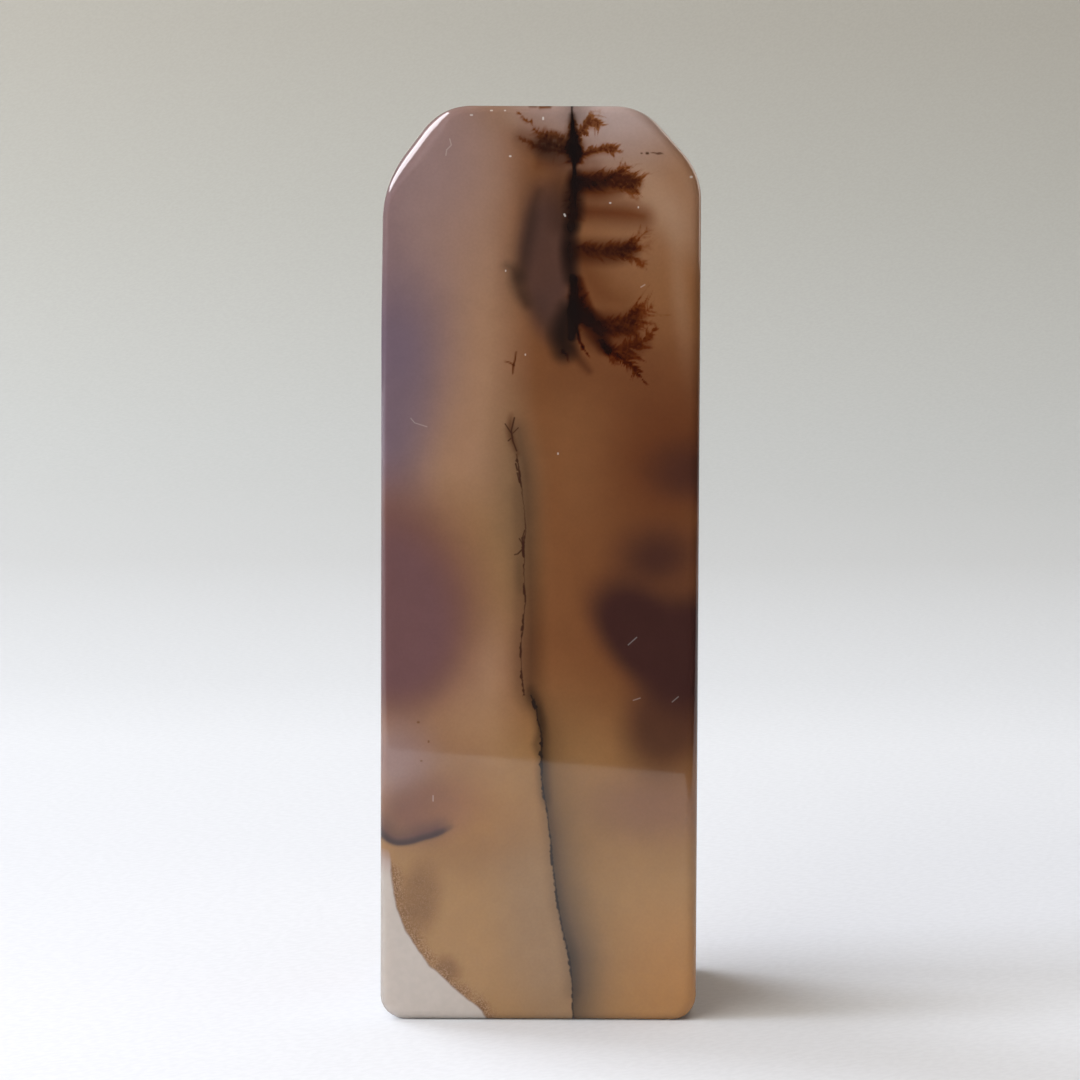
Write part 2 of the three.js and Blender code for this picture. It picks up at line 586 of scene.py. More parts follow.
# A feather is one frond of iron growth: how darkly it stains, the gap between its barbs, how far the
# barbs lean along it, how blurred it lies in the stone, and its middle line's points (x, z, half
# width). A stroke is a soft band: its blur, the manganese and iron it adds, and its middle line.
# Millimetres on the front face. Most points, here and in the vein, the pale corner and its arc, were
# read off enlarged crops of the photo in pixels, and a scratch script turned them into mm.
Feather = namedtuple("Feather", "stain barb lean blur line")
Stroke = namedtuple("Stroke", "blur manganese iron line")

FEATHERS = {
    "first leaf": Feather(1.2, 0.13, 0.9, 0.1, [
        (2.3, 58.25, 0.2), (2.7, 58.55, 0.52), (3.15, 58.85, 0.72), (3.55, 59, 0.65),
        (3.9, 58.7, 0.2),
    ]),
    "first twig": Feather(1.5, 0.16, 0.6, 0.1, [
        (2.1, 57.8, 0.2), (2.5, 58.05, 0.26), (2.9, 58.2, 0.2), (3.15, 58, 0.07),
    ]),
    "first fringe": Feather(1.5, 0.17, 0.5, 0.12, [
        (2.05, 58.25, 0.26), (2.3, 57.7, 0.59), (2.5, 57.05, 0.72), (2.5, 56.35, 0.33),
    ]),
    "second": Feather(1.25, 0.15, 1, 0.1, [
        (2.5, 56.8, 0.33), (3.15, 57.05, 0.33), (3.8, 57.15, 0.39), (4.4, 57.3, 0.52),
        (4.85, 57.2, 0.33), (5.3, 57.05, 0.13),
    ]),
    "third": Feather(1.2, 0.14, 1, 0.15, [
        (2.4, 55.3, 0.72), (3.3, 55.35, 0.78), (4.2, 55.35, 0.78), (5.1, 55.35, 0.91),
        (6, 55.25, 0.91), (6.65, 55.1, 0.33),
    ]),
    "third up": Feather(0.9, 0.13, 1, 0.08, [
        (4.2, 55.35, 0.26), (4.75, 55.6, 0.46), (5.35, 56, 0.46), (5.75, 56.25, 0.13),
    ]),
    "third low": Feather(0.9, 0.13, 0.9, 0.15, [
        (4.6, 55.1, 0.2), (5.25, 54.85, 0.39), (6, 54.6, 0.46), (6.45, 54.6, 0.2),
    ]),
    "fifth": Feather(1, 0.2, 1, 0.35, [
        (2.35, 50.7, 0.65), (3.3, 50.65, 0.78), (4.2, 50.65, 0.85), (5.1, 50.7, 0.91),
        (5.75, 50.85, 0.78), (6.4, 50.85, 0.33),
    ]),
    "fifth up": Feather(0.6, 0.17, 1.3, 0.15, [
        (5, 50.85, 0.26), (5.7, 51.2, 0.65), (6.4, 51.6, 0.72), (7, 52, 0.26),
    ]),
    "fifth end": Feather(0.4, 0.18, 1.3, 0.12, [
        (5.1, 50.7, 0.26), (5.9, 50.75, 0.59), (6.55, 50.85, 0.59), (7.05, 50.9, 0.2),
    ]),
    "fifth low": Feather(0.9, 0.18, 1.2, 0.15, [
        (5, 50.45, 0.2), (5.8, 50.2, 0.52), (6.35, 49.85, 0.39), (6.75, 49.65, 0.13),
    ]),
    "trunk fringe": Feather(1.5, 0.2, 0.8, 0.25, [
        (2.25, 45.25, 0.39), (2.3, 46.1, 0.65), (2.3, 47, 0.78), (2.2, 47.9, 0.65), (2.15, 48.8, 0.26),
    ]),
    "sixth upper": Feather(1, 0.16, 1.2, 0.12, [
        (3.05, 45.8, 0.33), (4, 45.95, 0.72), (4.95, 46.15, 0.85), (5.85, 46.4, 0.85),
        (6.65, 46.75, 0.59), (7.25, 47.05, 0.2),
    ]),
    "sixth tip up": Feather(0.8, 0.17, 1, 0.1, [(5.65, 46.4, 0.2), (6.2, 46.8, 0.39), (6.5, 47.2, 0.13)]),
    "sixth middle": Feather(0.9, 0.16, 1, 0.12, [
        (3.35, 45.45, 0.33), (4.25, 45.45, 0.59), (5.3, 45.55, 0.65), (6.3, 45.75, 0.59),
        (7.15, 46.05, 0.26),
    ]),
    "sixth lower": Feather(1.15, 0.17, 1, 0.1, [
        (3.6, 44.8, 0.33), (4.3, 44.4, 0.65), (5.2, 44.25, 0.72), (6.15, 44.55, 0.72),
        (6.9, 45.05, 0.52), (7.45, 45.65, 0.13),
    ]),
    "sixth low fringe": Feather(1.8, 0.18, 1.3, 0.12, [
        (4.05, 44.4, 0.39), (4.65, 43.95, 0.59), (5.25, 43.6, 0.72), (5.75, 43.3, 0.72),
        (6.15, 42.85, 0.39), (6.45, 42.3, 0.13), (6.85, 41.85, 0.07),
    ]),
    "sixth drops": Feather(1, 0.2, 1.2, 0.15, [
        (3.85, 44.6, 0.26), (4.25, 44, 0.33), (4.65, 43.5, 0.26), (4.85, 43.15, 0.07),
    ]),
    "low twig": Feather(3, 0.25, 0.5, 0.12, [
        (2.3, 45.5, 0.13), (2.4, 44.85, 0.13), (2.7, 44.25, 0.1), (3.15, 43.65, 0.07),
    ]),
    "low twig two": Feather(1.6, 0.25, 0.6, 0.15, [
        (1.4, 44.05, 0.2), (1.65, 43.65, 0.16), (1.85, 43.3, 0.07),
    ]),
    "left twig": Feather(1.2, 0.18, 0.8, 0.45, [
        (2, 57.05, 0.26), (0.95, 57.35, 0.46), (0.1, 57.85, 0.52), (-0.6, 58.6, 0.46),
        (-1.15, 59.1, 0.33), (-1.65, 59.65, 0.1),
    ]),
    "left mass feathers": Feather(1.1, 0.2, 0.4, 0.5, [
        (2, 57.4, 0.52), (1.35, 57.8, 0.59), (0.7, 58, 0.59), (0.15, 57.85, 0.39),
    ]),
    "trunk one tufts": Feather(1.7, 0.16, 0.7, 0.25, [
        (2.05, 58.95, 0.33), (2.1, 58.35, 0.59), (2.15, 57.55, 0.78), (2.25, 56.9, 0.78),
        (2.25, 56.4, 0.26),
    ]),
    "trunk two tufts": Feather(1, 0.2, 0.5, 0.5, [
        (2.25, 55.7, 0.26), (2.2, 54.95, 0.65), (2.1, 54.05, 0.78), (2.15, 53.15, 0.72),
        (2.05, 52.3, 0.39),
    ]),
    "left twig low": Feather(0.9, 0.18, 0.8, 0.6, [
        (1.85, 56.95, 0.26), (0.7, 57.1, 0.46), (-0.25, 57.35, 0.46), (-1, 57.65, 0.33),
        (-1.65, 58, 0.1),
    ]),
    "left mass": Feather(0.35, 0.3, 0.5, 0.5, [
        (2, 57.15, 0.91), (1.05, 57.25, 0.98), (0.25, 57.2, 0.85), (-0.5, 57.5, 0.59),
        (-1.25, 57.95, 0.26),
    ]),
}

STROKES = {
    "trunk one": Stroke(0.3, 2.2, 0.8, [
        (2, 59.3, 0.07), (2.05, 58.6, 0.13), (2.1, 57.8, 0.26), (2.15, 57.15, 0.33), (2.25, 56.7, 0.26),
        (2.25, 56.35, 0.1),
    ]),
    "trunk one halo": Stroke(0.4, 0.3, 0.8, [
        (2.05, 58.8, 0.26), (2.05, 57.8, 0.59), (2.1, 57.05, 0.65), (2.1, 56.65, 0.33),
    ]),
    "leaf body": Stroke(0.25, 0, 0.7, [(2.7, 58.55, 0.2), (3.15, 58.85, 0.39), (3.6, 58.9, 0.33)]),
    "second body": Stroke(0.22, 0, 0.8, [
        (2.7, 56.8, 0.2), (3.65, 57.1, 0.2), (4.3, 57.25, 0.33), (4.85, 57.2, 0.2),
    ]),
    "link": Stroke(0.08, 1.8, 0.3, [(2.15, 56.65, 0.08), (2.2, 55.75, 0.1)]),
    "trunk two": Stroke(0.6, 2.5, 0.3, [
        (2.25, 55.6, 0.13), (2.2, 54.95, 0.33), (2.1, 54.2, 0.42), (2.1, 53.15, 0.42), (2, 52.25, 0.26),
    ]),
    "trunk two left": Stroke(0.8, 0.35, 0.2, [
        (1.6, 55.75, 0.39), (1.2, 54.9, 0.52), (1.1, 53.6, 0.59), (1.2, 52.3, 0.52),
    ]),
    "trunk three": Stroke(0.55, 2.3, 0.4, [
        (1.95, 52.1, 0.26), (1.8, 51, 0.33), (1.8, 49.9, 0.33), (1.9, 48.75, 0.26),
    ]),
    "trunk four": Stroke(0.2, 2.6, 0.6, [
        (2, 48.8, 0.13), (2, 47.85, 0.2), (2, 46.9, 0.26), (2.05, 46, 0.29), (1.95, 44.95, 0.2),
    ]),
    "trunk four body": Stroke(0.3, 0.6, 1.4, [
        (2.3, 48.6, 0.26), (2.45, 47.75, 0.39), (2.65, 46.9, 0.52), (2.8, 46.25, 0.52),
    ]),
    "mass": Stroke(0.8, 2.8, 0, [
        (1.65, 46.65, 0.26), (1.45, 45.75, 0.46), (1.35, 44.9, 0.55), (1.45, 44.1, 0.46),
    ]),
    "left body": Stroke(0.6, 1.15, 0.4, [(1.85, 57.15, 0.59), (0.95, 57.25, 0.72), (0.25, 57.3, 0.59)]),
    "left body end": Stroke(0.8, 0.5, 0.25, [
        (0.25, 57.35, 0.52), (-0.6, 57.55, 0.46), (-1.4, 57.85, 0.2),
    ]),
    "third body": Stroke(0.4, 0.55, 1.1, [
        (2.4, 55.25, 0.59), (3.8, 55.25, 0.59), (5.1, 55.25, 0.52), (6, 55.1, 0.52),
    ]),
    "third low band": Stroke(0.5, 0.4, 1, [
        (2.45, 54.65, 0.33), (3.2, 54.5, 0.33), (4.05, 54.4, 0.26), (5.15, 54.5, 0.13),
    ]),
    "fourth": Stroke(0.85, 0.28, 0.95, [
        (2.5, 53.2, 0.46), (4.15, 53.15, 0.52), (5.65, 53.05, 0.59), (6.55, 52.9, 0.46),
    ]),
    "fifth body": Stroke(0.6, 0.75, 0.95, [
        (2.4, 50.55, 0.59), (3.5, 50.55, 0.65), (4.6, 50.55, 0.65), (5.65, 50.7, 0.52),
    ]),
    "sixth body": Stroke(0.5, 1, 0.9, [
        (2.3, 46.65, 0.33), (3.05, 46.2, 0.52), (3.45, 45.65, 0.52), (3.8, 45, 0.46),
        (4.05, 44.5, 0.33),
    ]),
    "sixth body two": Stroke(0.5, 0.35, 0.6, [
        (3.2, 46.15, 0.52), (4.15, 46, 0.65), (5.15, 46, 0.59), (5.95, 46.3, 0.46),
    ]),
    "sixth middle body": Stroke(0.5, 0.15, 0.4, [(4.1, 45.3, 0.33), (5, 45.3, 0.33), (5.95, 45.3, 0.26)]),
    "sixth low body": Stroke(0.4, 0.15, 0.5, [
        (4.1, 44.35, 0.39), (5.05, 44.2, 0.46), (5.95, 44.25, 0.46), (6.65, 44.6, 0.33),
    ]),
    "low blur": Stroke(0.4, 0.6, 0.5, [(1.95, 44.3, 0.2), (2.35, 43.65, 0.2), (3.1, 42.75, 0.1)]),
    "left body low": Stroke(0.45, 0.25, 0.35, [
        (-0.1, 56.3, 0.26), (0.95, 56.2, 0.33), (1.85, 56.4, 0.26), (2.75, 56.35, 0.2),
    ]),
    "trunk line": Stroke(0.05, 2, 0.2, [
        (1.95, 60, 0.04), (2, 59.25, 0.06), (2.05, 58.45, 0.1), (2.15, 57.15, 0.13), (2.2, 56.2, 0.1),
        (2.2, 54.9, 0.09), (2.2, 53.6, 0.03),
    ]),
    "third root": Stroke(0.4, 1.1, 0.5, [(2.4, 55.1, 0.33), (3.3, 55.05, 0.26), (4.2, 54.95, 0.13)]),
    "vein cloud": Stroke(0.45, 0.3, 0, [(-1.35, 30.3, 0.13), (-1.35, 29.4, 0.2), (-1.3, 28.5, 0.13)]),
    "lower vein cloud": Stroke(0.35, 0.6, 0, [
        (0.05, 20.45, 0.1), (0.2, 19.6, 0.16), (0.1, 18.75, 0.13), (-0.1, 18.2, 0.2),
        (0.25, 17.5, 0.07),
    ]),
    "sixth heart": Stroke(0.8, 0.12, 0.5, [(3.35, 45.65, 0.46), (4.5, 45.45, 0.65), (5.6, 45.45, 0.52)]),
    "lower vein shade": Stroke(0.8, 0.55, 0, [
        (0.4, 16.65, 0.1), (0.65, 13.5, 0.13), (0.95, 10.85, 0.13), (1.35, 8, 0.13), (1.75, 5.35, 0.13),
        (2.15, 2.05, 0.13),
    ]),
    "sixth root": Stroke(0.8, 0.35, 0.5, [(2.7, 45.25, 0.2), (3.2, 44.85, 0.26), (3.75, 44.45, 0.2)]),
    "sixth shade": Stroke(1, 0.1, 0.35, [
        (2.8, 49.5, 0.52), (3.3, 48.5, 0.78), (4.25, 47.65, 0.65), (5.25, 47.45, 0.52),
    ]),
    "first shade": Stroke(0.7, 0.15, 0.3, [(2.6, 57.8, 0.26), (2.95, 57.05, 0.39), (3.55, 56.25, 0.39)]),
    "upper vein haze": Stroke(0.9, 0.32, 0, [
        (-1.75, 35.05, 0.13), (-1.55, 31.75, 0.26), (-1.5, 27.8, 0.33), (-1.5, 24.55, 0.33),
        (-1.4, 21.9, 0.2),
    ]),
    "veil edge upper": Stroke(0.6, 0.65, 0, [
        (-0.15, 54.55, 0.03), (-0.4, 53.75, 0.1), (-0.6, 52.6, 0.23), (-0.75, 51.65, 0.23),
        (-0.95, 50.7, 0.26), (-1.15, 49.7, 0.29), (-1.3, 48.9, 0.26),
    ]),
    "veil edge middle": Stroke(0.55, 0.85, 0, [
        (-2.2, 49.6, 0.04), (-1.8, 49.3, 0.2), (-1.55, 48.7, 0.4), (-1.35, 47.95, 0.36),
        (-0.95, 47.1, 0.16),
    ]),
    "veil edge lower": Stroke(0.7, 0.3, 0, [
        (-1.1, 47.45, 0.2), (-0.45, 46.65, 0.26), (0.2, 45.8, 0.33), (0.6, 45.15, 0.33),
    ]),
    "seam shade": Stroke(0.8, 0.45, 0.1, [(2.2, 62.5, 1), (2.2, 59.4, 0.7)]),
    "seam crack": Stroke(0.15, 0.45, 0.1, [(2, 63, 0.06), (2, 59.2, 0.04)]),
    "first dot": Stroke(0.05, 1.3, 1, [(6.6, 57, 0.03), (6.65, 57, 0.03)]),
    "second dot": Stroke(0.05, 1.6, 1, [(6.95, 57, 0.05), (7.05, 57, 0.05)]),
    "third dot": Stroke(0.05, 1, 1, [(7.4, 57.05, 0.03), (7.45, 57.05, 0.03)]),
    "fourth dot": Stroke(0.05, 1.6, 1, [(7.7, 57, 0.05), (7.85, 57, 0.05)]),
    "first top spot": Stroke(0.12, 0.4, 0.9, [(-0.8, 59.85, 0.06), (-0.4, 59.85, 0.06)]),
    "second top spot": Stroke(0.12, 0.4, 1.1, [(-0.1, 59.8, 0.1), (0.5, 59.85, 0.1)]),
    "sprig": Stroke(0.06, 0.7, 1.8, [
        (-1.6, 44, 0.02), (-1.65, 43.5, 0.03), (-1.75, 43.05, 0.04), (-1.75, 42.55, 0.02),
    ]),
    "sprig twig": Stroke(0.06, 0.5, 1.6, [(-2.3, 43.4, 0.01), (-2, 43.3, 0.03), (-1.7, 43.1, 0.03)]),
    "vein smudge": Stroke(0.25, 0.3, 0.6, [
        (-1.8, 39.6, 0.13), (-1.9, 38.7, 0.2), (-1.7, 37.9, 0.13), (-1.5, 37.25, 0.07),
    ]),
    "upper vein shade": Stroke(1.1, 0.95, 0, [
        (-1.4, 38.85, 0.13), (-1, 35.7, 0.2), (-0.7, 31.75, 0.26), (-0.55, 27.85, 0.33),
        (-0.5, 23.9, 0.39), (-0.5, 21.25, 0.33),
    ]),
    "crossing shade": Stroke(0.55, 0.9, 0, [
        (-0.55, 21.6, 0.16), (0.1, 19.8, 0.26), (0.4, 17.3, 0.16), (0.6, 14.65, 0.1),
    ]),
}

# The vein of black mineral, in two runs that pass each other: points (x, z, half width) in mm
UPPER_VEIN = [
    (-1.65, 37.5, 0.02), (-1.55, 36.75, 0.06), (-1.4, 35.7, 0.05), (-1.25, 34.9, 0.01),
    (-1.05, 33.45, 0.01), (-0.95, 32.55, 0.02), (-1.1, 31.45, 0.06), (-1.05, 30.45, 0.03),
    (-1.05, 29.15, 0.01), (-1, 28.35, 0.05), (-0.95, 27.7, 0.03), (-1.05, 27.05, 0.03),
    (-1.1, 25.85, 0.05), (-1.2, 25.2, 0.02), (-1.2, 24.4, 0.05), (-1.2, 23.75, 0.02),
    (-1.15, 22.95, 0.05), (-1.1, 22.45, 0.05), (-1, 21.65, 0.07), (-0.9, 21.1, 0.03),
]

LOWER_VEIN = [
    (-0.6, 21.65, 0.03), (-0.5, 21.4, 0.08), (-0.1, 20.45, 0.08), (-0.1, 20.05, 0.05),
    (0.05, 19.45, 0.06), (0.25, 18.85, 0.04), (0.25, 18.35, 0.07), (0.3, 17.4, 0.08),
    (0.35, 16.35, 0.07), (0.4, 15.9, 0.02), (0.45, 15.45, 0.06), (0.55, 14.6, 0.05),
    (0.65, 13.8, 0.05), (0.7, 13.05, 0.02), (0.8, 12, 0.05), (0.95, 10.6, 0.05), (1.2, 9.15, 0.05),
    (1.45, 7.3, 0.05), (1.65, 5.65, 0.05), (1.95, 4.05, 0.05), (2.2, 2.35, 0.04), (2.4, 0.5, 0.03),
    (2.65, -0.65, 0.03),
]

# The grey shade that lies against the right of the lower run: points (z, depth of stain, reach) in mm
VEIN_SHADE = [
    (22.5, 0, 0.8), (20.5, 0.8, 1), (17, 1.1, 1), (13.8, 1, 1.4), (10.5, 1.1, 1.4), (7, 1.35, 1.35),
    (4, 1.8, 1.2), (2, 1.6, 1.2), (0, 1, 1.1),
]

# The edge of the pale corner from the left side to the base, and the lower edge of the dark arc
# over it: points (x, z) in mm
CORNER_EDGE = [
    (-11, 11.3), (-10.3, 11.3), (-9.8, 11.1), (-9.75, 9.85), (-9.7, 8.65), (-9.45, 7.3), (-9, 6.2),
    (-8.6, 5.5), (-8.05, 4.8), (-7.45, 3.85), (-6.85, 3.2), (-6.1, 2.55), (-5.35, 1.8),
    (-4.6, 1.15), (-4.15, 0.8), (-3.75, 0.4), (-3.3, -0.45),
]

ARC = [
    (-10.8, 12.55), (-10.25, 12), (-9.9, 11.7), (-9.3, 11.5), (-8.45, 11.6), (-7.75, 11.85),
    (-7, 12.05), (-6.3, 12.35), (-5.7, 12.7),
]

# Hairs and fine scratches on the front face, specks of dust, and the vein's twigs and the dark dots in
# it: from x, z to x, z and the half width, in mm
Mark = namedtuple("Mark", "x z to_x to_z half_width")

HAIRS = [
    Mark(-5.95, 57.85, -5.85, 57.45, 0.025),
    Mark(-5.85, 57.45, -6.15, 57.15, 0.025),
    Mark(-6.15, 57.15, -6.2, 56.8, 0.025),
    Mark(-8.45, 39.7, -8.2, 39.4, 0.02),
    Mark(-8.2, 39.4, -7.4, 39.15, 0.02),
    Mark(6.75, 48.45, 6.5, 48.3, 0.03),
    Mark(5.8, 24.9, 6.35, 25.4, 0.02),
    Mark(6.15, 21.25, 6.6, 21.4, 0.02),
    Mark(8.7, 21.15, 9.1, 21.5, 0.02),
    Mark(-6.95, 14.9, -6.95, 14.55, 0.03),
]

SPECKS = [
    Mark(-4.6, 59.4, -4.5, 59.4, 0.04),
    Mark(-2.05, 56.75, -2, 56.75, 0.05),
    Mark(0.1, 59.15, 0.1, 59.25, 0.05),
    Mark(-3.3, 59.7, -3.2, 59.7, 0.03),
    Mark(-2.4, 59.7, -2.35, 59.7, 0.03),
    Mark(9.7, 55.45, 9.75, 55.45, 0.07),
    Mark(4.45, 53.75, 4.5, 53.75, 0.04),
    Mark(6.3, 53.5, 6.3, 53.45, 0.03),
    Mark(1.5, 53, 1.55, 52.9, 0.05),
    Mark(-2.3, 49.35, -2.3, 49.3, 0.03),
    Mark(-1, 43.85, -1, 43.9, 0.03),
    Mark(1.15, 37.45, 1.15, 37.4, 0.04),
]

VEIN_TWIGS = [
    Mark(-1.7, 39.75, -1.9, 38.9, 0.05),
    Mark(-1.9, 38.9, -1.8, 38.25, 0.06),
    Mark(-1.8, 38.25, -1.55, 37.6, 0.05),
    Mark(-2.3, 39.35, -1.9, 38.75, 0.04),
    Mark(-2.1, 38.25, -1.8, 38.5, 0.04),
    Mark(-1.45, 39.1, -1.8, 38.75, 0.03),
    Mark(-1.6, 36.75, -1.5, 36.35, 0.06),
    Mark(-1.5, 36.15, -1.35, 35.55, 0.05),
    Mark(-1, 32.4, -1.15, 31.9, 0.04),
    Mark(-1.15, 31.9, -1.1, 31.3, 0.08),
    Mark(-1.35, 31.85, -1.1, 31.45, 0.04),
    Mark(-1.65, 30.8, -1.45, 30.85, 0.04),
    Mark(-1.45, 30.85, -1.15, 31.15, 0.05),
    Mark(-1.1, 31.3, -1.05, 30.7, 0.06),
    Mark(-1.05, 28.75, -1, 28.3, 0.06),
    Mark(-0.95, 28.1, -0.95, 27.7, 0.05),
]

DARK_DOTS = [
    Mark(-7.95, 19.75, -7.9, 19.75, 0.07),
    Mark(-7.25, 18.45, -7.25, 18.5, 0.06),
    Mark(-7.75, 17.2, -7.7, 17.2, 0.05),
]

# The longest step along a line, and how far the growths' places waver and in what grain, in mm
SPLINE_STEP = 0.15
WAVER = 0.06
WAVER_GRAIN = 0.35
# How many random values there are along a line before they repeat
WANDER_VALUES = 512
# A barb bends forwards by this share of its lean for each mm out. Its tip lies at a share of the
# feather's half width, the least share and what chance adds to it, and chance changes the tips once
# for some barbs. The barbs themselves are two grains of chance, the finer one splayed outwards.
BARB_BEND = 0.35
TIP_REACH = 1.3
TIP_LEAST = 0.45
TIP_ADDED = 0.75
TIP_GRAIN = 2.6
TIP_SMALLEST = 0.02
BARB_GRAIN = 1.3
FINE_BARB_GRAIN = 0.6
FINE_BARB_SPLAY = 0.6
BARB_CONTRAST = 0.7
# How full a feather is at its middle line, what the way to the tips takes from it, and the softness
# of its barbs without blur
BARB_FULLNESS = 0.8
BARB_THINNING = 1.1
BARB_SOFTNESS = 0.45
# Where along the line a feather comes in at its root, and goes out before its end, in mm
ROOT_SPAN = (-0.25, 0.0)
END_SPAN = (-0.1, 0.25)
MIDDLE_STAIN = 1.15
TIP_STAIN_LOSS = 0.55
# How far beside their middle lines feathers and strokes can reach, in mm
FEATHER_REACH = 1.5
STROKE_REACH = 2.5
# Where the lower vein's shade starts beside it, and how the arc fades towards its end, in mm
SHADE_START = 0.08
ARC_END = (-0.5, 1.0)


class MiddleLine:
    """A line bent smoothly through its points: between two points each coordinate is the cubic
    that passes them in the direction of their neighbours (a Catmull-Rom spline), cut into steps."""

    def __init__(self, points, step=SPLINE_STEP):
        points = np.array(points, float)
        ends = np.stack([2 * points[0] - points[1], 2 * points[-1] - points[-2]])
        run_on = np.vstack([ends[:1], points, ends[1:]])
        a, b, c, d = (run_on[k : len(points) - 1 + k] for k in range(4))
        fine = [points[:1]]
        for k, run in enumerate(np.hypot(*(c - b)[:, :2].T)):
            t = np.linspace(0.0, 1.0, max(2, math.ceil(run / step)) + 1)[1:, None]
            turn = (2 * a[k] - 5 * b[k] + 4 * c[k] - d[k]) * t**2
            bend = (3 * b[k] - a[k] - 3 * c[k] + d[k]) * t**3
            fine.append(b[k] + 0.5 * ((c[k] - a[k]) * t + turn + bend))
        fine = np.vstack(fine)
        self.starts, self.widths = fine[:-1, :2], fine[:, -1]
        runs = np.diff(fine[:, :2], axis=0)
        self.steps = np.hypot(*runs.T)
        self.onward = runs / self.steps[:, None]
        self.travelled = np.concatenate([[0.0], np.cumsum(self.steps)])
        self.length = self.travelled[-1]

    def beside(self, x, z):
        """Distance along the line, running on before and after it, and distance to its left."""
        nearest = np.full(x.shape, np.inf)
        along, aside = np.zeros(x.shape), np.zeros(x.shape)
        last = len(self.steps) - 1
        for k, ((x0, z0), (east, up), step) in enumerate(zip(self.starts, self.onward, self.steps)):
            ahead = (x - x0) * east + (z - z0) * up
            side = (z - z0) * east - (x - x0) * up
            held = np.clip(ahead, 0.0, step)
            distance = np.hypot(ahead - held, side)
            nearer = distance < nearest
            nearest = np.where(nearer, distance, nearest)
            free = np.clip(ahead, 0.0 if k else None, None if k == last else step)
            along = np.where(nearer, self.travelled[k] + free, along)
            aside = np.where(nearer, side, aside)
        return along, aside

    def half_width(self, along):
        """Half width at distances along the line."""
        return np.interp(along, self.travelled, self.widths)


def near_line(x, z, line, reach):
    """Which points lie in a line's box, widened by a reach."""
    low, high = np.min(line, axis=0)[:2] - reach, np.max(line, axis=0)[:2] + reach
    return np.flatnonzero((x > low[0]) & (x < high[0]) & (z > low[1]) & (z < high[1]))


def wander(place, gap, seed):
    """Smooth random values from 0 to 1 along a line, a new one for each gap."""
    numbers = np.random.default_rng(seed).random(WANDER_VALUES)
    low = np.floor(place / gap).astype(int)
    part = ease(place / gap - low)
    return numbers[low % WANDER_VALUES] * (1.0 - part) + numbers[(low + 1) % WANDER_VALUES] * part


def feather_stain(x, z, feather, seed):
    """Stain of one feather. Each place belongs to the barb that leaves the middle line behind it, by
    its distance aside times the lean. The barbs' tips lie at random distances, and towards the
    tips only the strongest of them are left, so that they part."""
    line = MiddleLine(feather.line)
    along, aside = line.beside(x, z)
    out = np.abs(aside)
    start = along - out * feather.lean * (1.0 + BARB_BEND * out)
    seeds = seed + 3 * (aside > 0)
    stain = np.zeros(len(x))
    for side_seed in np.unique(seeds):
        here = seeds == side_seed
        place, distance = start[here], out[here]
        chance = wander(place, TIP_GRAIN * feather.barb, side_seed)
        tip = TIP_REACH * line.half_width(place) * (TIP_LEAST + TIP_ADDED * chance)
        share_out = distance / np.maximum(tip, TIP_SMALLEST)
        barb = wander(place, BARB_GRAIN * feather.barb, side_seed + 1)
        splayed = place + FINE_BARB_SPLAY * distance
        barb += wander(splayed, FINE_BARB_GRAIN * feather.barb, side_seed + 2)
        strength = BARB_FULLNESS + BARB_CONTRAST * (barb - 1.0) - BARB_THINNING * share_out
        cover = ease(strength / (BARB_SOFTNESS + feather.blur))
        ends = stepped(place, *ROOT_SPAN) * stepped(line.length - place, *END_SPAN)
        stain[here] = cover * ends * (MIDDLE_STAIN - TIP_STAIN_LOSS * np.minimum(share_out, 1.0))
    return feather.stain * stain


def stroke_cover(x, z, stroke):
    """1 inside a stroke's width, eased to 0 across its blur."""
    line = MiddleLine(stroke.line)
    along, aside = line.beside(x, z)
    beyond = along - np.clip(along, 0.0, line.length)
    away = np.hypot(beyond, aside) - line.half_width(along)
    return stepped(away, stroke.blur, -stroke.blur)


def growth_amounts(x, z):
    """Depths of stain at each place: iron in the fronds, blurred iron deeper in, and manganese."""
    iron, haze, manganese = np.zeros((3, len(x)))
    flat = np.stack([x, np.zeros(len(x)), z], axis=1)
    wavy_x = x + WAVER * lattice_noise(flat, WAVER_GRAIN, 3)
    wavy_z = z + WAVER * lattice_noise(flat, WAVER_GRAIN, 4)
    for number, feather in enumerate(FEATHERS.values()):
        near = near_line(x, z, feather.line, FEATHER_REACH)
        iron[near] += feather_stain(wavy_x[near], wavy_z[near], feather, 10 * number)
    for stroke in STROKES.values():
        near = near_line(x, z, stroke.line, STROKE_REACH)
        cover = stroke_cover(x[near], z[near], stroke)
        haze[near] += stroke.iron * cover
        manganese[near] += stroke.manganese * cover
    aside = MiddleLine(LOWER_VEIN).beside(x, z)[1]
    heights, stains, reaches = np.array(VEIN_SHADE)[::-1].T
    fall = np.exp(-np.maximum(aside, 0.0) / np.interp(z, heights, reaches))
    manganese += np.interp(z, heights, stains) * fall * stepped(aside, -SHADE_START, SHADE_START)
    return {"iron": iron, "haze": haze, "manganese": manganese}


def line_amounts(x, z):
    """Distances to the two runs of the vein with their half widths, to the edge of the pale corner
    (below it negative) and to the arc over it (above it positive), and how far the arc is there."""
    amounts = {}
    for name, points in (("upper_vein", UPPER_VEIN), ("lower_vein", LOWER_VEIN)):
        line = MiddleLine(points)
        along, aside = line.beside(x, z)
        beyond = (along < 0.0) | (along > line.length)
        amounts[name] = aside
        amounts[name + "_half"] = np.where(beyond, -1.0, line.half_width(along))
    amounts["corner"] = MiddleLine(CORNER_EDGE).beside(x, z)[1]
    arc = MiddleLine(ARC)
    along, amounts["arc"] = arc.beside(x, z)
    amounts["arc_fade"] = stepped(arc.length - along, *ARC_END)
    return amounts


# Materials

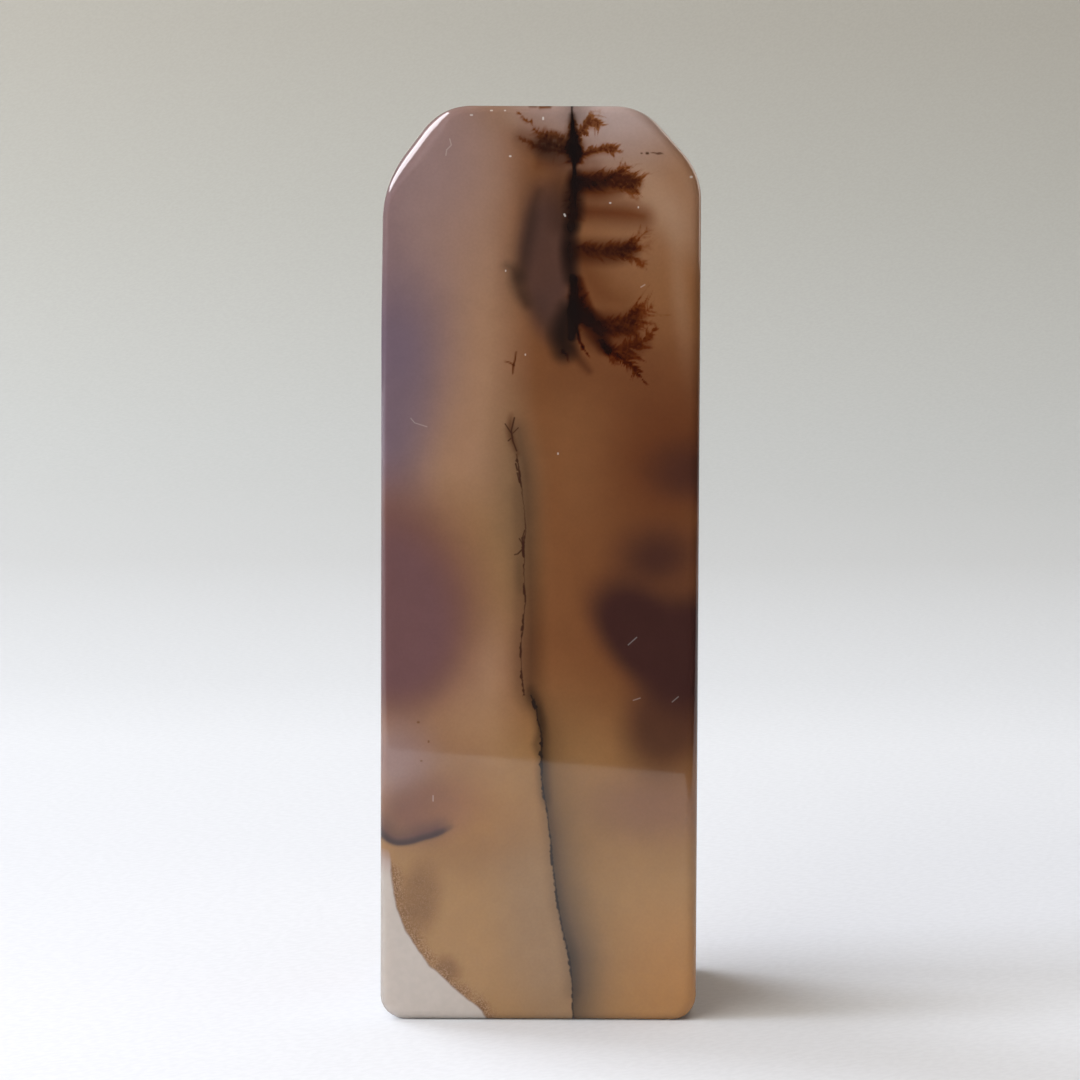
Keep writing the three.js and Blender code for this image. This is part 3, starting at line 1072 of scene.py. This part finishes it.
# What is left of the light after a depth of iron stain
IRON_FILTER = ((0.0, "FFFFFF"), (1.0, "C8955F"), (2.2, "8A5330"), (4.0, "533122"), (6.0, "38211B"))

# A speckle is noise: the size of its grains in mm, its finer octaves, the span of the noise that it
# uses, and what it runs between over that span
Speckle = namedtuple("Speckle", "grain detail low high start end", defaults=[0.0, 1.0])
TUFTS = Speckle(0.22, 1.0, 0.36, 0.62, 0.72, 1.2)
MOTTLE = Speckle(1.4, 3.0, 0.25, 0.75, 0.97, 1.03)
FINE_MOTTLE = Speckle(0.18, 1.0, 0.3, 0.7, 0.98, 1.02)
VEIN_BEADS = Speckle(0.35, 1.0, 0.35, 0.65, 0.6, 2.0)
GRAIN_PATCHES = Speckle(0.8, 2.0, 0.35, 0.65, 0.5, 1.0)
DARK_GRAINS = Speckle(0.085, 1.0, 0.5, 0.62)
LIGHT_GRAINS = Speckle(0.085, 1.0, 0.46, 0.36)
CRUST_MOTTLE = Speckle(0.5, 2.0, 0.3, 0.7, 0.97, 1.02)

# The vein: how far it strays from its line and in what grain, its blur, in mm, and its strength
VEIN_RAGGED = 0.2
VEIN_GRAIN = 0.35
VEIN_BLUR = 0.05
VEIN_STRENGTH = 0.95
MARK_BLUR = 0.045

# The pale corner's edge: how far it wobbles and in what grain, its blur, the width of its brown rim,
# and how far above it the brown grains lie, in mm
EDGE_WOBBLE = 0.3
EDGE_GRAIN = 1.1
EDGE_BLUR = 0.09
RIM_WIDTH = 0.12
GRAIN_BAND = 1.2
# Spans up from the arc's lower edge, in mm, over which things come in: what lies over the arc, the
# grains and the rim under it, the pale corner with its flush, and the shade that the arc throws up
OVER_ARC = (-0.1, 0.1)
GRAINS_UNDER_ARC = (-0.6, -2.2)
RIM_UNDER_ARC = (-0.6, -2.0)
CORNER_UNDER_ARC = (-0.1, -1.3)
FLUSH_UNDER_ARC = (-2.6, -0.4)
ARC_SHADE = (1.7, 0.0)
# The dark line in the arc: its height over the lower edge and its blur, in mm
ARC_LINE_HEIGHT = 0.15
ARC_LINE_BLUR = 0.4
# How strongly each is drawn, and the share of the grains' band that lies in the two clouds of them
CLOUD_SHARE = 0.45
DARK_SHARE = 0.75
LIGHT_SHARE = 0.4
SCATTERED_SHARE = 0.5
SHADE_SHARE = 0.85
LINE_SHARE = 0.6
RIM_SHARE = 0.35

# The marks in the order they are drawn: their strength and their colour. They lie in the front face,
# and fade out between two depths behind it, in mm.
MARK_KINDS = (
    (VEIN_TWIGS, 0.9, "sepia"),
    (DARK_DOTS, 0.8, "grain"),
    (HAIRS, 0.3, "dust"),
    (SPECKS, 0.75, "dust"),
)
MARK_DEPTHS = (1.0, 0.6)

AGATE_IOR = 1.54
# How far red, green and blue light travel in the stone, as shares of the scatter
SCATTER_SHARES = (1.0, 0.9, 0.8)


def add(tree, kind, inputs=None, **settings):
    """Adds a node with its settings. An input is a value or another node's output."""
    node = tree.nodes.new("ShaderNode" + kind)
    for name, value in settings.items():
        setattr(node, name, value)
    for socket, value in (inputs or {}).items():
        if isinstance(value, bpy.types.NodeSocket):
            tree.links.new(value, node.inputs[socket])
        else:
            node.inputs[socket].default_value = value
    return node


def new_material(name):
    """A material without nodes, and its node tree."""
    material = bpy.data.materials.new(name)
    material.use_nodes = True
    material.node_tree.nodes.clear()
    return material, material.node_tree


def mixed(tree, factor, first, second, blend="MIX"):
    """The colour that is first where the factor is 0 and second where it is 1."""
    node = add(tree, "Mix", {0: factor, 6: first, 7: second}, data_type="RGBA", blend_type=blend)
    return node.outputs[2]


def worked(tree, operation, *values, clamp=False):
    """The result of one step of arithmetic."""
    node = add(tree, "Math", dict(enumerate(values)), operation=operation, use_clamp=clamp)
    return node.outputs[0]


def eased(tree, value, low, high, start=0.0, end=1.0):
    """Start where the value is low, end where it is high, and a soft step between them."""
    inputs = {"Value": value, "From Min": low, "From Max": high, "To Min": start, "To Max": end}
    return add(tree, "MapRange", inputs, interpolation_type="SMOOTHSTEP").outputs[0]


def set_stops(ramp, shades):
    """Gives a colour ramp its positions from 0 to 1 and their colours."""
    stops = ramp.color_ramp.elements
    for position, shade in shades:
        stop = stops[0] if position == 0.0 else stops[-1] if position == 1.0 else stops.new(position)
        stop.position = position
        stop.color = linear(shade)


def grain_noise(tree, place, grain, detail=0.0):
    """Noise around a half whose grains are the given size in mm."""
    inputs = {"Vector": place, "Scale": 1.0 / grain, "Detail": detail}
    return add(tree, "TexNoise", inputs).outputs["Fac"]


def speckled(tree, place, speckle):
    """A speckle's value at each place."""
    noise = grain_noise(tree, place, speckle.grain, speckle.detail)
    return eased(tree, noise, speckle.low, speckle.high, speckle.start, speckle.end)


def times(tree, *factors):
    """The product of values."""
    product = factors[0]
    for factor in factors[1:]:
        product = worked(tree, "MULTIPLY", product, factor)
    return product


def attribute(tree, name):
    """A number kept with the stone's vertices."""
    return add(tree, "Attribute", attribute_name=name).outputs["Fac"]


def vector_step(tree, operation, first, second, output="Vector"):
    """The result of one step of vector arithmetic."""
    return add(tree, "VectorMath", {0: first, 1: second}, operation=operation).outputs[output]


def mark_cover(tree, place, mark):
    """1 inside a thin mark with round ends. The nearest place on its middle line is the start plus
    the run times the share of the run that the place lies along it."""
    run = np.array([mark.to_x - mark.x, 0.0, mark.to_z - mark.z])
    away = vector_step(tree, "SUBTRACT", place, (mark.x, 0.0, mark.z))
    along = vector_step(tree, "DOT_PRODUCT", away, tuple(run / (run @ run)), "Value")
    held = worked(tree, "ADD", along, 0.0, clamp=True)
    scaled = add(tree, "VectorMath", {0: tuple(run), "Scale": held}, operation="SCALE").outputs["Vector"]
    distance = vector_step(tree, "DISTANCE", away, scaled, "Value")
    return eased(tree, distance, mark.half_width + MARK_BLUR, mark.half_width - MARK_BLUR)


def marks_cover(tree, place, marks):
    """The strongest cover of several marks."""
    cover = 0.0
    for mark in marks:
        cover = worked(tree, "MAXIMUM", mark_cover(tree, place, mark), cover)
    return cover


def stained(tree, colour, place, colours):
    """The growths' stain: light is filtered red and brown through iron, and lost in manganese."""
    tufts = speckled(tree, place, TUFTS)
    iron = worked(tree, "MULTIPLY_ADD", attribute(tree, "iron"), tufts, attribute(tree, "haze"))
    iron = worked(tree, "DIVIDE", iron, IRON_FILTER[-1][0])
    filters = add(tree, "ValToRGB", {"Fac": iron})
    set_stops(filters, [(depth / IRON_FILTER[-1][0], shade) for depth, shade in IRON_FILTER])
    colour = mixed(tree, 1.0, colour, filters.outputs[0], "MULTIPLY")
    passed = worked(tree, "EXPONENT", times(tree, attribute(tree, "manganese"), -1.0))
    return mixed(tree, passed, tuple(colours.soot), colour)


def veined(tree, colour, place, colours):
    """The black mineral of the vein, thick and thin in turns."""
    beads = speckled(tree, place, VEIN_BEADS)
    bends = worked(tree, "SUBTRACT", grain_noise(tree, place, VEIN_GRAIN, 2.0), 0.5)
    bends = times(tree, bends, VEIN_RAGGED)
    for name, shade in (("upper_vein", colours.sepia), ("lower_vein", colours.seam)):
        away = worked(tree, "ABSOLUTE", worked(tree, "ADD", attribute(tree, name), bends))
        half = times(tree, attribute(tree, name + "_half"), beads)
        inside = eased(tree, worked(tree, "SUBTRACT", half, away), -VEIN_BLUR, VEIN_BLUR)
        colour = mixed(tree, times(tree, inside, VEIN_STRENGTH), colour, tuple(shade))
    return colour


def grained(tree, colour, place, colours, edge):
    """Brown and pale grains in a band over the corner's edge, and brown clouds of them."""
    scattered = attribute(tree, "grain")
    below = eased(tree, attribute(tree, "arc"), *GRAINS_UNDER_ARC)
    patches = speckled(tree, place, GRAIN_PATCHES)
    close = times(tree, eased(tree, edge, GRAIN_BAND, 0.0), below)
    cloud = times(tree, worked(tree, "MAXIMUM", scattered, close), patches)
    band = times(tree, worked(tree, "MAXIMUM", close, times(tree, scattered, SCATTERED_SHARE)), patches)
    dark = times(tree, speckled(tree, place, DARK_GRAINS), band, DARK_SHARE)
    light = times(tree, speckled(tree, place, LIGHT_GRAINS), band, LIGHT_SHARE)
    colour = mixed(tree, times(tree, cloud, CLOUD_SHARE), colour, tuple(colours.grain))
    colour = mixed(tree, dark, colour, tuple(colours.grain))
    return mixed(tree, light, colour, tuple(colours.milk))


def arced(tree, colour, colours):
    """The dark arc: a shade that fades upwards, and a darker line along its lower edge."""
    arc, arc_fade = attribute(tree, "arc"), attribute(tree, "arc_fade")
    shade = times(tree, arc_fade, eased(tree, arc, *ARC_SHADE), eased(tree, arc, *OVER_ARC), SHADE_SHARE)
    colour = mixed(tree, shade, colour, tuple(colours.rind))
    away = worked(tree, "ABSOLUTE", worked(tree, "SUBTRACT", arc, ARC_LINE_HEIGHT))
    line = times(tree, eased(tree, away, ARC_LINE_BLUR, 0.0), arc_fade, LINE_SHARE)
    return mixed(tree, line, colour, tuple(colours.smoke))


def cornered(tree, colour, place, colours):
    """The pale corner under its dark arc, with brown grains along its edge."""
    wobble = worked(tree, "SUBTRACT", grain_noise(tree, place, EDGE_GRAIN, 2.0), 0.5)
    edge = worked(tree, "MULTIPLY_ADD", wobble, EDGE_WOBBLE, attribute(tree, "corner"))
    arc = attribute(tree, "arc")
    colour = grained(tree, colour, place, colours, edge)
    colour = arced(tree, colour, colours)
    flushed = eased(tree, arc, *FLUSH_UNDER_ARC)
    crust = mixed(tree, flushed, tuple(colours.crust), tuple(colours.flush))
    crust = mixed(tree, 1.0, crust, speckled(tree, place, CRUST_MOTTLE), "MULTIPLY")
    pale = times(tree, eased(tree, edge, EDGE_BLUR, -EDGE_BLUR), eased(tree, arc, *CORNER_UNDER_ARC))
    colour = mixed(tree, pale, colour, crust)
    rim = eased(tree, worked(tree, "ABSOLUTE", edge), RIM_WIDTH, 0.0)
    rim = times(tree, rim, eased(tree, arc, *RIM_UNDER_ARC), RIM_SHARE)
    return mixed(tree, rim, colour, tuple(colours.grain))


def agate_material(colours, finish):
    """Dendritic agate, sawn, ground and polished to a gloss: cloudy translucent chalcedony with
    iron and manganese growths, a vein of black mineral and a corner of pale quartz."""
    material, tree = new_material("polished_dendritic_agate")
    place = add(tree, "TexCoord").outputs["Object"]
    place = add(tree, "VectorMath", {0: place, "Scale": 1.0 / MM}, operation="SCALE").outputs["Vector"]
    colour = tuple(colours.honey)
    for name in CLOUDS:
        colour = mixed(tree, attribute(tree, name), colour, tuple(getattr(colours, name)))
    for speckle in (MOTTLE, FINE_MOTTLE):
        colour = mixed(tree, 1.0, colour, speckled(tree, place, speckle), "MULTIPLY")
    colour = stained(tree, colour, place, colours)
    colour = veined(tree, colour, place, colours)
    colour = cornered(tree, colour, place, colours)
    # Painted shade on the edges turned to the windows, and painted light on those turned away
    lost = times(tree, attribute(tree, "lit_edge"), finish.painted_edge_strength)
    colour = mixed(tree, 1.0, colour, worked(tree, "SUBTRACT", 1.0, lost), "MULTIPLY")
    behind = add(tree, "SeparateXYZ", {0: place}).outputs["Y"]
    front = eased(tree, behind, FRONT + MARK_DEPTHS[0], FRONT + MARK_DEPTHS[1])
    flat = vector_step(tree, "MULTIPLY", place, (1.0, 0.0, 1.0))
    for marks, strength, name in MARK_KINDS:
        cover = times(tree, marks_cover(tree, flat, marks), front, strength)
        colour = mixed(tree, cover, colour, tuple(getattr(colours, name)))
    shader = add(
        tree,
        "BsdfPrincipled",
        {
            "Base Color": colour,
            "Roughness": finish.roughness,
            "IOR": AGATE_IOR,
            "Subsurface Weight": finish.depth,
            "Subsurface Radius": SCATTER_SHARES,
            "Subsurface Scale": finish.scatter,
        },
    )
    add(tree, "OutputMaterial", {"Surface": shader.outputs[0]})
    return material


# Meshes


def new_mesh_object(name, vertices, faces, material):
    """A smooth object at the origin from vertices in mm and a list of face arrays."""
    mesh = bpy.data.meshes.new(name)
    mesh.from_pydata(vertices * MM, [], [face for group in faces for face in group.tolist()])
    mesh.polygons.foreach_set("use_smooth", np.ones(len(mesh.polygons), bool))
    mesh.materials.append(material)
    piece = bpy.data.objects.new(name, mesh)
    bpy.context.scene.collection.objects.link(piece)
    return piece


def store(mesh, name, values):
    """Keeps one number per vertex as a named attribute."""
    mesh.attributes.new(name, "FLOAT", "POINT").data.foreach_set("value", values.astype(np.float32))


# Painted edge light and shade: how strongly the edges turned away from the windows are lightened, as a
# share of how much the edges turned to them are darkened, and the share of the left side's painted shade
# that the upward faces get
PAINTED_DIM_EDGE_LIGHT = 0.7
PAINTED_TOP_SHADE = 0.3


def lit_edge(mesh):
    """How far each vertex is turned to the left and up, towards the windows, or to the right, away from
    them (negative). The colour is darkened by it as painted shade, and lightened where it is negative as
    painted light."""
    normals = np.empty(3 * len(mesh.vertices))
    mesh.vertices.foreach_get("normal", normals)
    lit = np.clip(PAINTED_TOP_SHADE * np.maximum(normals[2::3], 0.0) - normals[0::3], -1.0, 1.0)
    return np.where(lit < 0.0, PAINTED_DIM_EDGE_LIGHT * lit, lit)


class AGATE_OT_stone(bpy.types.Operator):
    """Build the polished stone with its clouds, growths and vein"""

    bl_idname = "agate.stone"
    bl_label = "Agate Stone"

    def execute(self, context):
        scene = context.scene
        vertices, faces = stone_mesh(scene.stone_shape)
        material = agate_material(scene.stone_colours, scene.stone_finish)
        stone = new_mesh_object("polished_agate", vertices, faces, material)
        x, z = folded(vertices)
        for amounts in (cloud_amounts(x, z), growth_amounts(x, z), line_amounts(x, z)):
            for name, amount in amounts.items():
                store(stone.data, name, amount)
        store(stone.data, "lit_edge", lit_edge(stone.data))
        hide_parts("seal_stone")
        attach(stone, "root")
        return {"FINISHED"}


# The stage


# Painted shade: the paper's colour darkens and warms away from the windows. The distance behind the stone
# along it, in mm, and its colour, worked out from the paper's measured colour in the photo
PAPER_PAINTED_SHADE = (
    (-20.0, "DBDCDF"),
    (60.0, "D2D3D6"),
    (130.0, "CFD0D2"),
    (183.0, "C4C5C6"),
    (320.0, "B1B1AF"),
    (478.0, "A8A8A4"),
    (547.0, "A3A29C"),
    (607.0, "9D9B93"),
    (681.0, "979389"),
)
# Its fibres: their size across and along in mm, how they are turned, and their speckle in grains of
# that size
FIBRE = (0.45, 0.9)
FIBRE_TURN = math.radians(35)
FIBRES = Speckle(1.0, 1.0, 0.3, 0.7, 0.978, 1.022)
PAPER_ROUGHNESS = 0.9
PAPER_IOR = 1.45
# The paper's width to each side in mm, and its steps across, along the flat and up the rise
PAPER_HALF_WIDTH = 700.0
PAPER_COLUMNS = 56
FLAT_STEPS = 40
RISE_STEPS = 32


def paper_material():
    """Matt white paper, uncoated, with painted shade that makes it darker and warmer towards the back."""
    material, tree = new_material("matt_paper")
    behind = add(tree, "Attribute", attribute_name="behind").outputs["Fac"]
    low, high = PAPER_PAINTED_SHADE[0][0], PAPER_PAINTED_SHADE[-1][0]
    place = add(tree, "MapRange", {"Value": behind, "From Min": low, "From Max": high}).outputs[0]
    shades = add(tree, "ValToRGB", {"Fac": place})
    set_stops(shades, [((distance - low) / (high - low), shade) for distance, shade in PAPER_PAINTED_SHADE])
    place = add(tree, "TexCoord").outputs["Object"]
    scales = (1.0 / (FIBRE[0] * MM), 1.0 / (FIBRE[1] * MM), 1.0 / MM)
    turned_place = add(tree, "Mapping", {"Vector": place, "Rotation": (0.0, 0.0, FIBRE_TURN)})
    fibres = vector_step(tree, "MULTIPLY", turned_place.outputs[0], scales)
    colour = mixed(tree, 1.0, shades.outputs[0], speckled(tree, fibres, FIBRES), "MULTIPLY")
    inputs = {"Base Color": colour, "Roughness": PAPER_ROUGHNESS, "IOR": PAPER_IOR}
    add(tree, "OutputMaterial", {"Surface": add(tree, "BsdfPrincipled", inputs).outputs[0]})
    return material


def paper_sweep(stage):
    """The paper's surface: across runs along its turned front edge, and the second parameter runs
    flat to the back and then up a quarter circle."""
    across = np.linspace(-PAPER_HALF_WIDTH, PAPER_HALF_WIDTH, PAPER_COLUMNS + 1)
    front = np.tan(stage.paper_turn) * across + FRONT - stage.paper_front / MM
    flat_end = stage.paper_flat / MM
    radius = stage.paper_sweep / MM
    angles = np.linspace(0.0, math.pi / 2, RISE_STEPS + 1)
    rows = [
        np.stack([across, front + (flat_end - front) * part, np.zeros_like(across)], axis=1)
        for part in np.linspace(0.0, 1.0, FLAT_STEPS + 1)[:-1]
    ]
    rows += [
        np.stack([
            across,
            np.full_like(across, flat_end + radius * math.sin(angle)),
            np.full_like(across, radius * (1 - math.cos(angle))),
        ], axis=1)
        for angle in angles
    ]
    vertices = np.concatenate(rows)
    return vertices, [grid_faces(len(across) - 1, len(rows) - 1)]


def behind_stone(vertices, stage):
    """Distance behind the stone along the paper, in mm: flat at first, then the radius times the
    angle risen through."""
    flat_end = stage.paper_flat / MM
    radius = stage.paper_sweep / MM
    risen = np.arctan2(vertices[:, 1] - flat_end, radius - vertices[:, 2])
    return np.where(vertices[:, 1] > flat_end, flat_end + radius * risen, vertices[:, 1])


# A lamp: its place and target in mm, width and height in mm, power in watts, colour, and whether it is
# the bright window that polished faces reflect, or else the light that falls on things. The powers of
# the first five come from a least-squares fit to the paper's brightness in the photo, scaled a little.
Lamp = namedtuple("Lamp", "place target size watts colour reflected")
STONE_MIDDLE = (0, 0, 30)
LAMPS = {
    "side_window": Lamp((-1329, -234, 630), STONE_MIDDLE, (690, 780), 18.5, "EDF4FF", False),
    "back_window": Lamp((-625, 647, 430), STONE_MIDDLE, (760, 520), 11.2, "EDF4FF", False),
    "front_window": Lamp((-868, -1033, 630), STONE_MIDDLE, (1350, 780), 15.7, "FFFDF8", False),
    "ceiling": Lamp((0, 100, 1200), (0, 100, 0), (1200, 1200), 6.6, "FFF4E6", False),
    "right_wall": Lamp((900, -250, 400), STONE_MIDDLE, (900, 600), 0.5, "FFEFE0", False),
    "window_glint": Lamp((-770, 60, 700), STONE_MIDDLE, (780, 590), 17.5, "FBF8FF", True),
    "wall_glint": Lamp((-640, -630, 130), STONE_MIDDLE, (900, 500), 0.35, "E4ECFF", True),
    "far_wall_glint": Lamp((700, 570, 330), STONE_MIDDLE, (700, 660), 3.0, "FFF8F0", True),
}
# The grey of the room past the paper, and the share of it that lights the stage
ROOM_GREY = "CBCBCB"
ROOM_LIGHT = 0.1
SENSOR_WIDTH = 36.0
# How far the camera sees, in metres
VIEW_REACH = 20.0


def hang(name, lamp):
    """Hangs one rectangular soft light."""
    data = bpy.data.lights.new(name, "AREA")
    data.shape = "RECTANGLE"
    data.size, data.size_y = (side * MM for side in lamp.size)
    data.energy = lamp.watts
    data.color = linear(lamp.colour)[:3]
    light = bpy.data.objects.new(name, data)
    away = Vector(lamp.place) - Vector(lamp.target)
    turn = away.to_track_quat("Z", "Y").to_matrix().to_4x4()
    light.matrix_world = Matrix.Translation(Vector(lamp.place) * MM) @ turn
    light.visible_camera = False
    light.visible_glossy = lamp.reflected
    light.visible_diffuse = not lamp.reflected
    bpy.context.scene.collection.objects.link(light)


def grey_room():
    """An even grey world, as bright as it is for the camera and dim for everything else."""
    world = bpy.data.worlds.new("studio")
    world.use_nodes = True
    tree = world.node_tree
    tree.nodes.clear()
    seen, unseen = (
        add(tree, "Background", {"Color": linear(ROOM_GREY), "Strength": strength}).outputs[0]
        for strength in (1.0, ROOM_LIGHT)
    )
    by_camera = add(tree, "LightPath").outputs["Is Camera Ray"]
    blend = add(tree, "MixShader", {0: by_camera, 1: unseen, 2: seen})
    add(tree, "OutputWorld", {"Surface": blend.outputs[0]})
    return world


def camera_at(stage):
    """The camera in front of the stone, looking a little down."""
    camera = bpy.data.objects.new("camera", bpy.data.cameras.new("camera"))
    camera.data.sensor_width = SENSOR_WIDTH
    camera.data.lens = stage.camera_lens
    camera.data.clip_end = VIEW_REACH
    place = (0.0, FRONT * MM - stage.camera_distance, stage.camera_height)
    pitch = Matrix.Rotation(math.pi / 2 - stage.camera_pitch, 4, "X")
    roll = Matrix.Rotation(stage.camera_roll, 4, "Z")
    camera.matrix_world = Matrix.Translation(place) @ pitch @ roll
    bpy.context.scene.collection.objects.link(camera)
    return camera


class AGATE_OT_stage(bpy.types.Operator):
    """Lay the paper sweep, hang the lights and set the camera"""

    bl_idname = "agate.stage"
    bl_label = "Studio Stage"

    def execute(self, context):
        scene = context.scene
        stage = scene.agate_stage
        vertices, faces = paper_sweep(stage)
        paper = new_mesh_object("paper_sweep", vertices, faces, paper_material())
        store(paper.data, "behind", behind_stone(vertices, stage))
        for name, lamp in LAMPS.items():
            hang(name, lamp)
        scene.world = grey_room()
        scene.camera = camera_at(stage)
        scene.view_settings.view_transform = "Standard"
        return {"FINISHED"}


class AGATE_PT_panel(bpy.types.Panel):
    """The stone's settings and the buttons that build it"""

    bl_idname = "AGATE_PT_panel"
    bl_label = "Agate Seal Stone"
    bl_space_type = "VIEW_3D"
    bl_region_type = "UI"
    bl_category = "Agate"

    def draw(self, context):
        for name in SETTINGS:
            box = self.layout.box()
            group = getattr(context.scene, name)
            for prop in group.bl_rna.properties:
                if prop.identifier not in ("name", "rna_type"):
                    box.prop(group, prop.identifier)
        for operator in OPERATORS:
            self.layout.operator(operator.bl_idname)


SETTINGS = {
    "stone_shape": StoneShape,
    "stone_colours": StoneColours,
    "stone_finish": StoneFinish,
    "agate_stage": StageSettings,
}
OPERATORS = (AGATE_OT_stage, AGATE_OT_stone)
CLASSES = (*SETTINGS.values(), *OPERATORS, AGATE_PT_panel)


def register():
    for cls in CLASSES:
        bpy.utils.register_class(cls)
    for name, group in SETTINGS.items():
        setattr(bpy.types.Scene, name, bpy.props.PointerProperty(type=group))


def unregister():
    for name in SETTINGS:
        delattr(bpy.types.Scene, name)
    for cls in reversed(CLASSES):
        bpy.utils.unregister_class(cls)


def main():
    register()
    bpy.ops.agate.stage()
    bpy.ops.agate.stone()


if __name__ == "__main__":
    main()
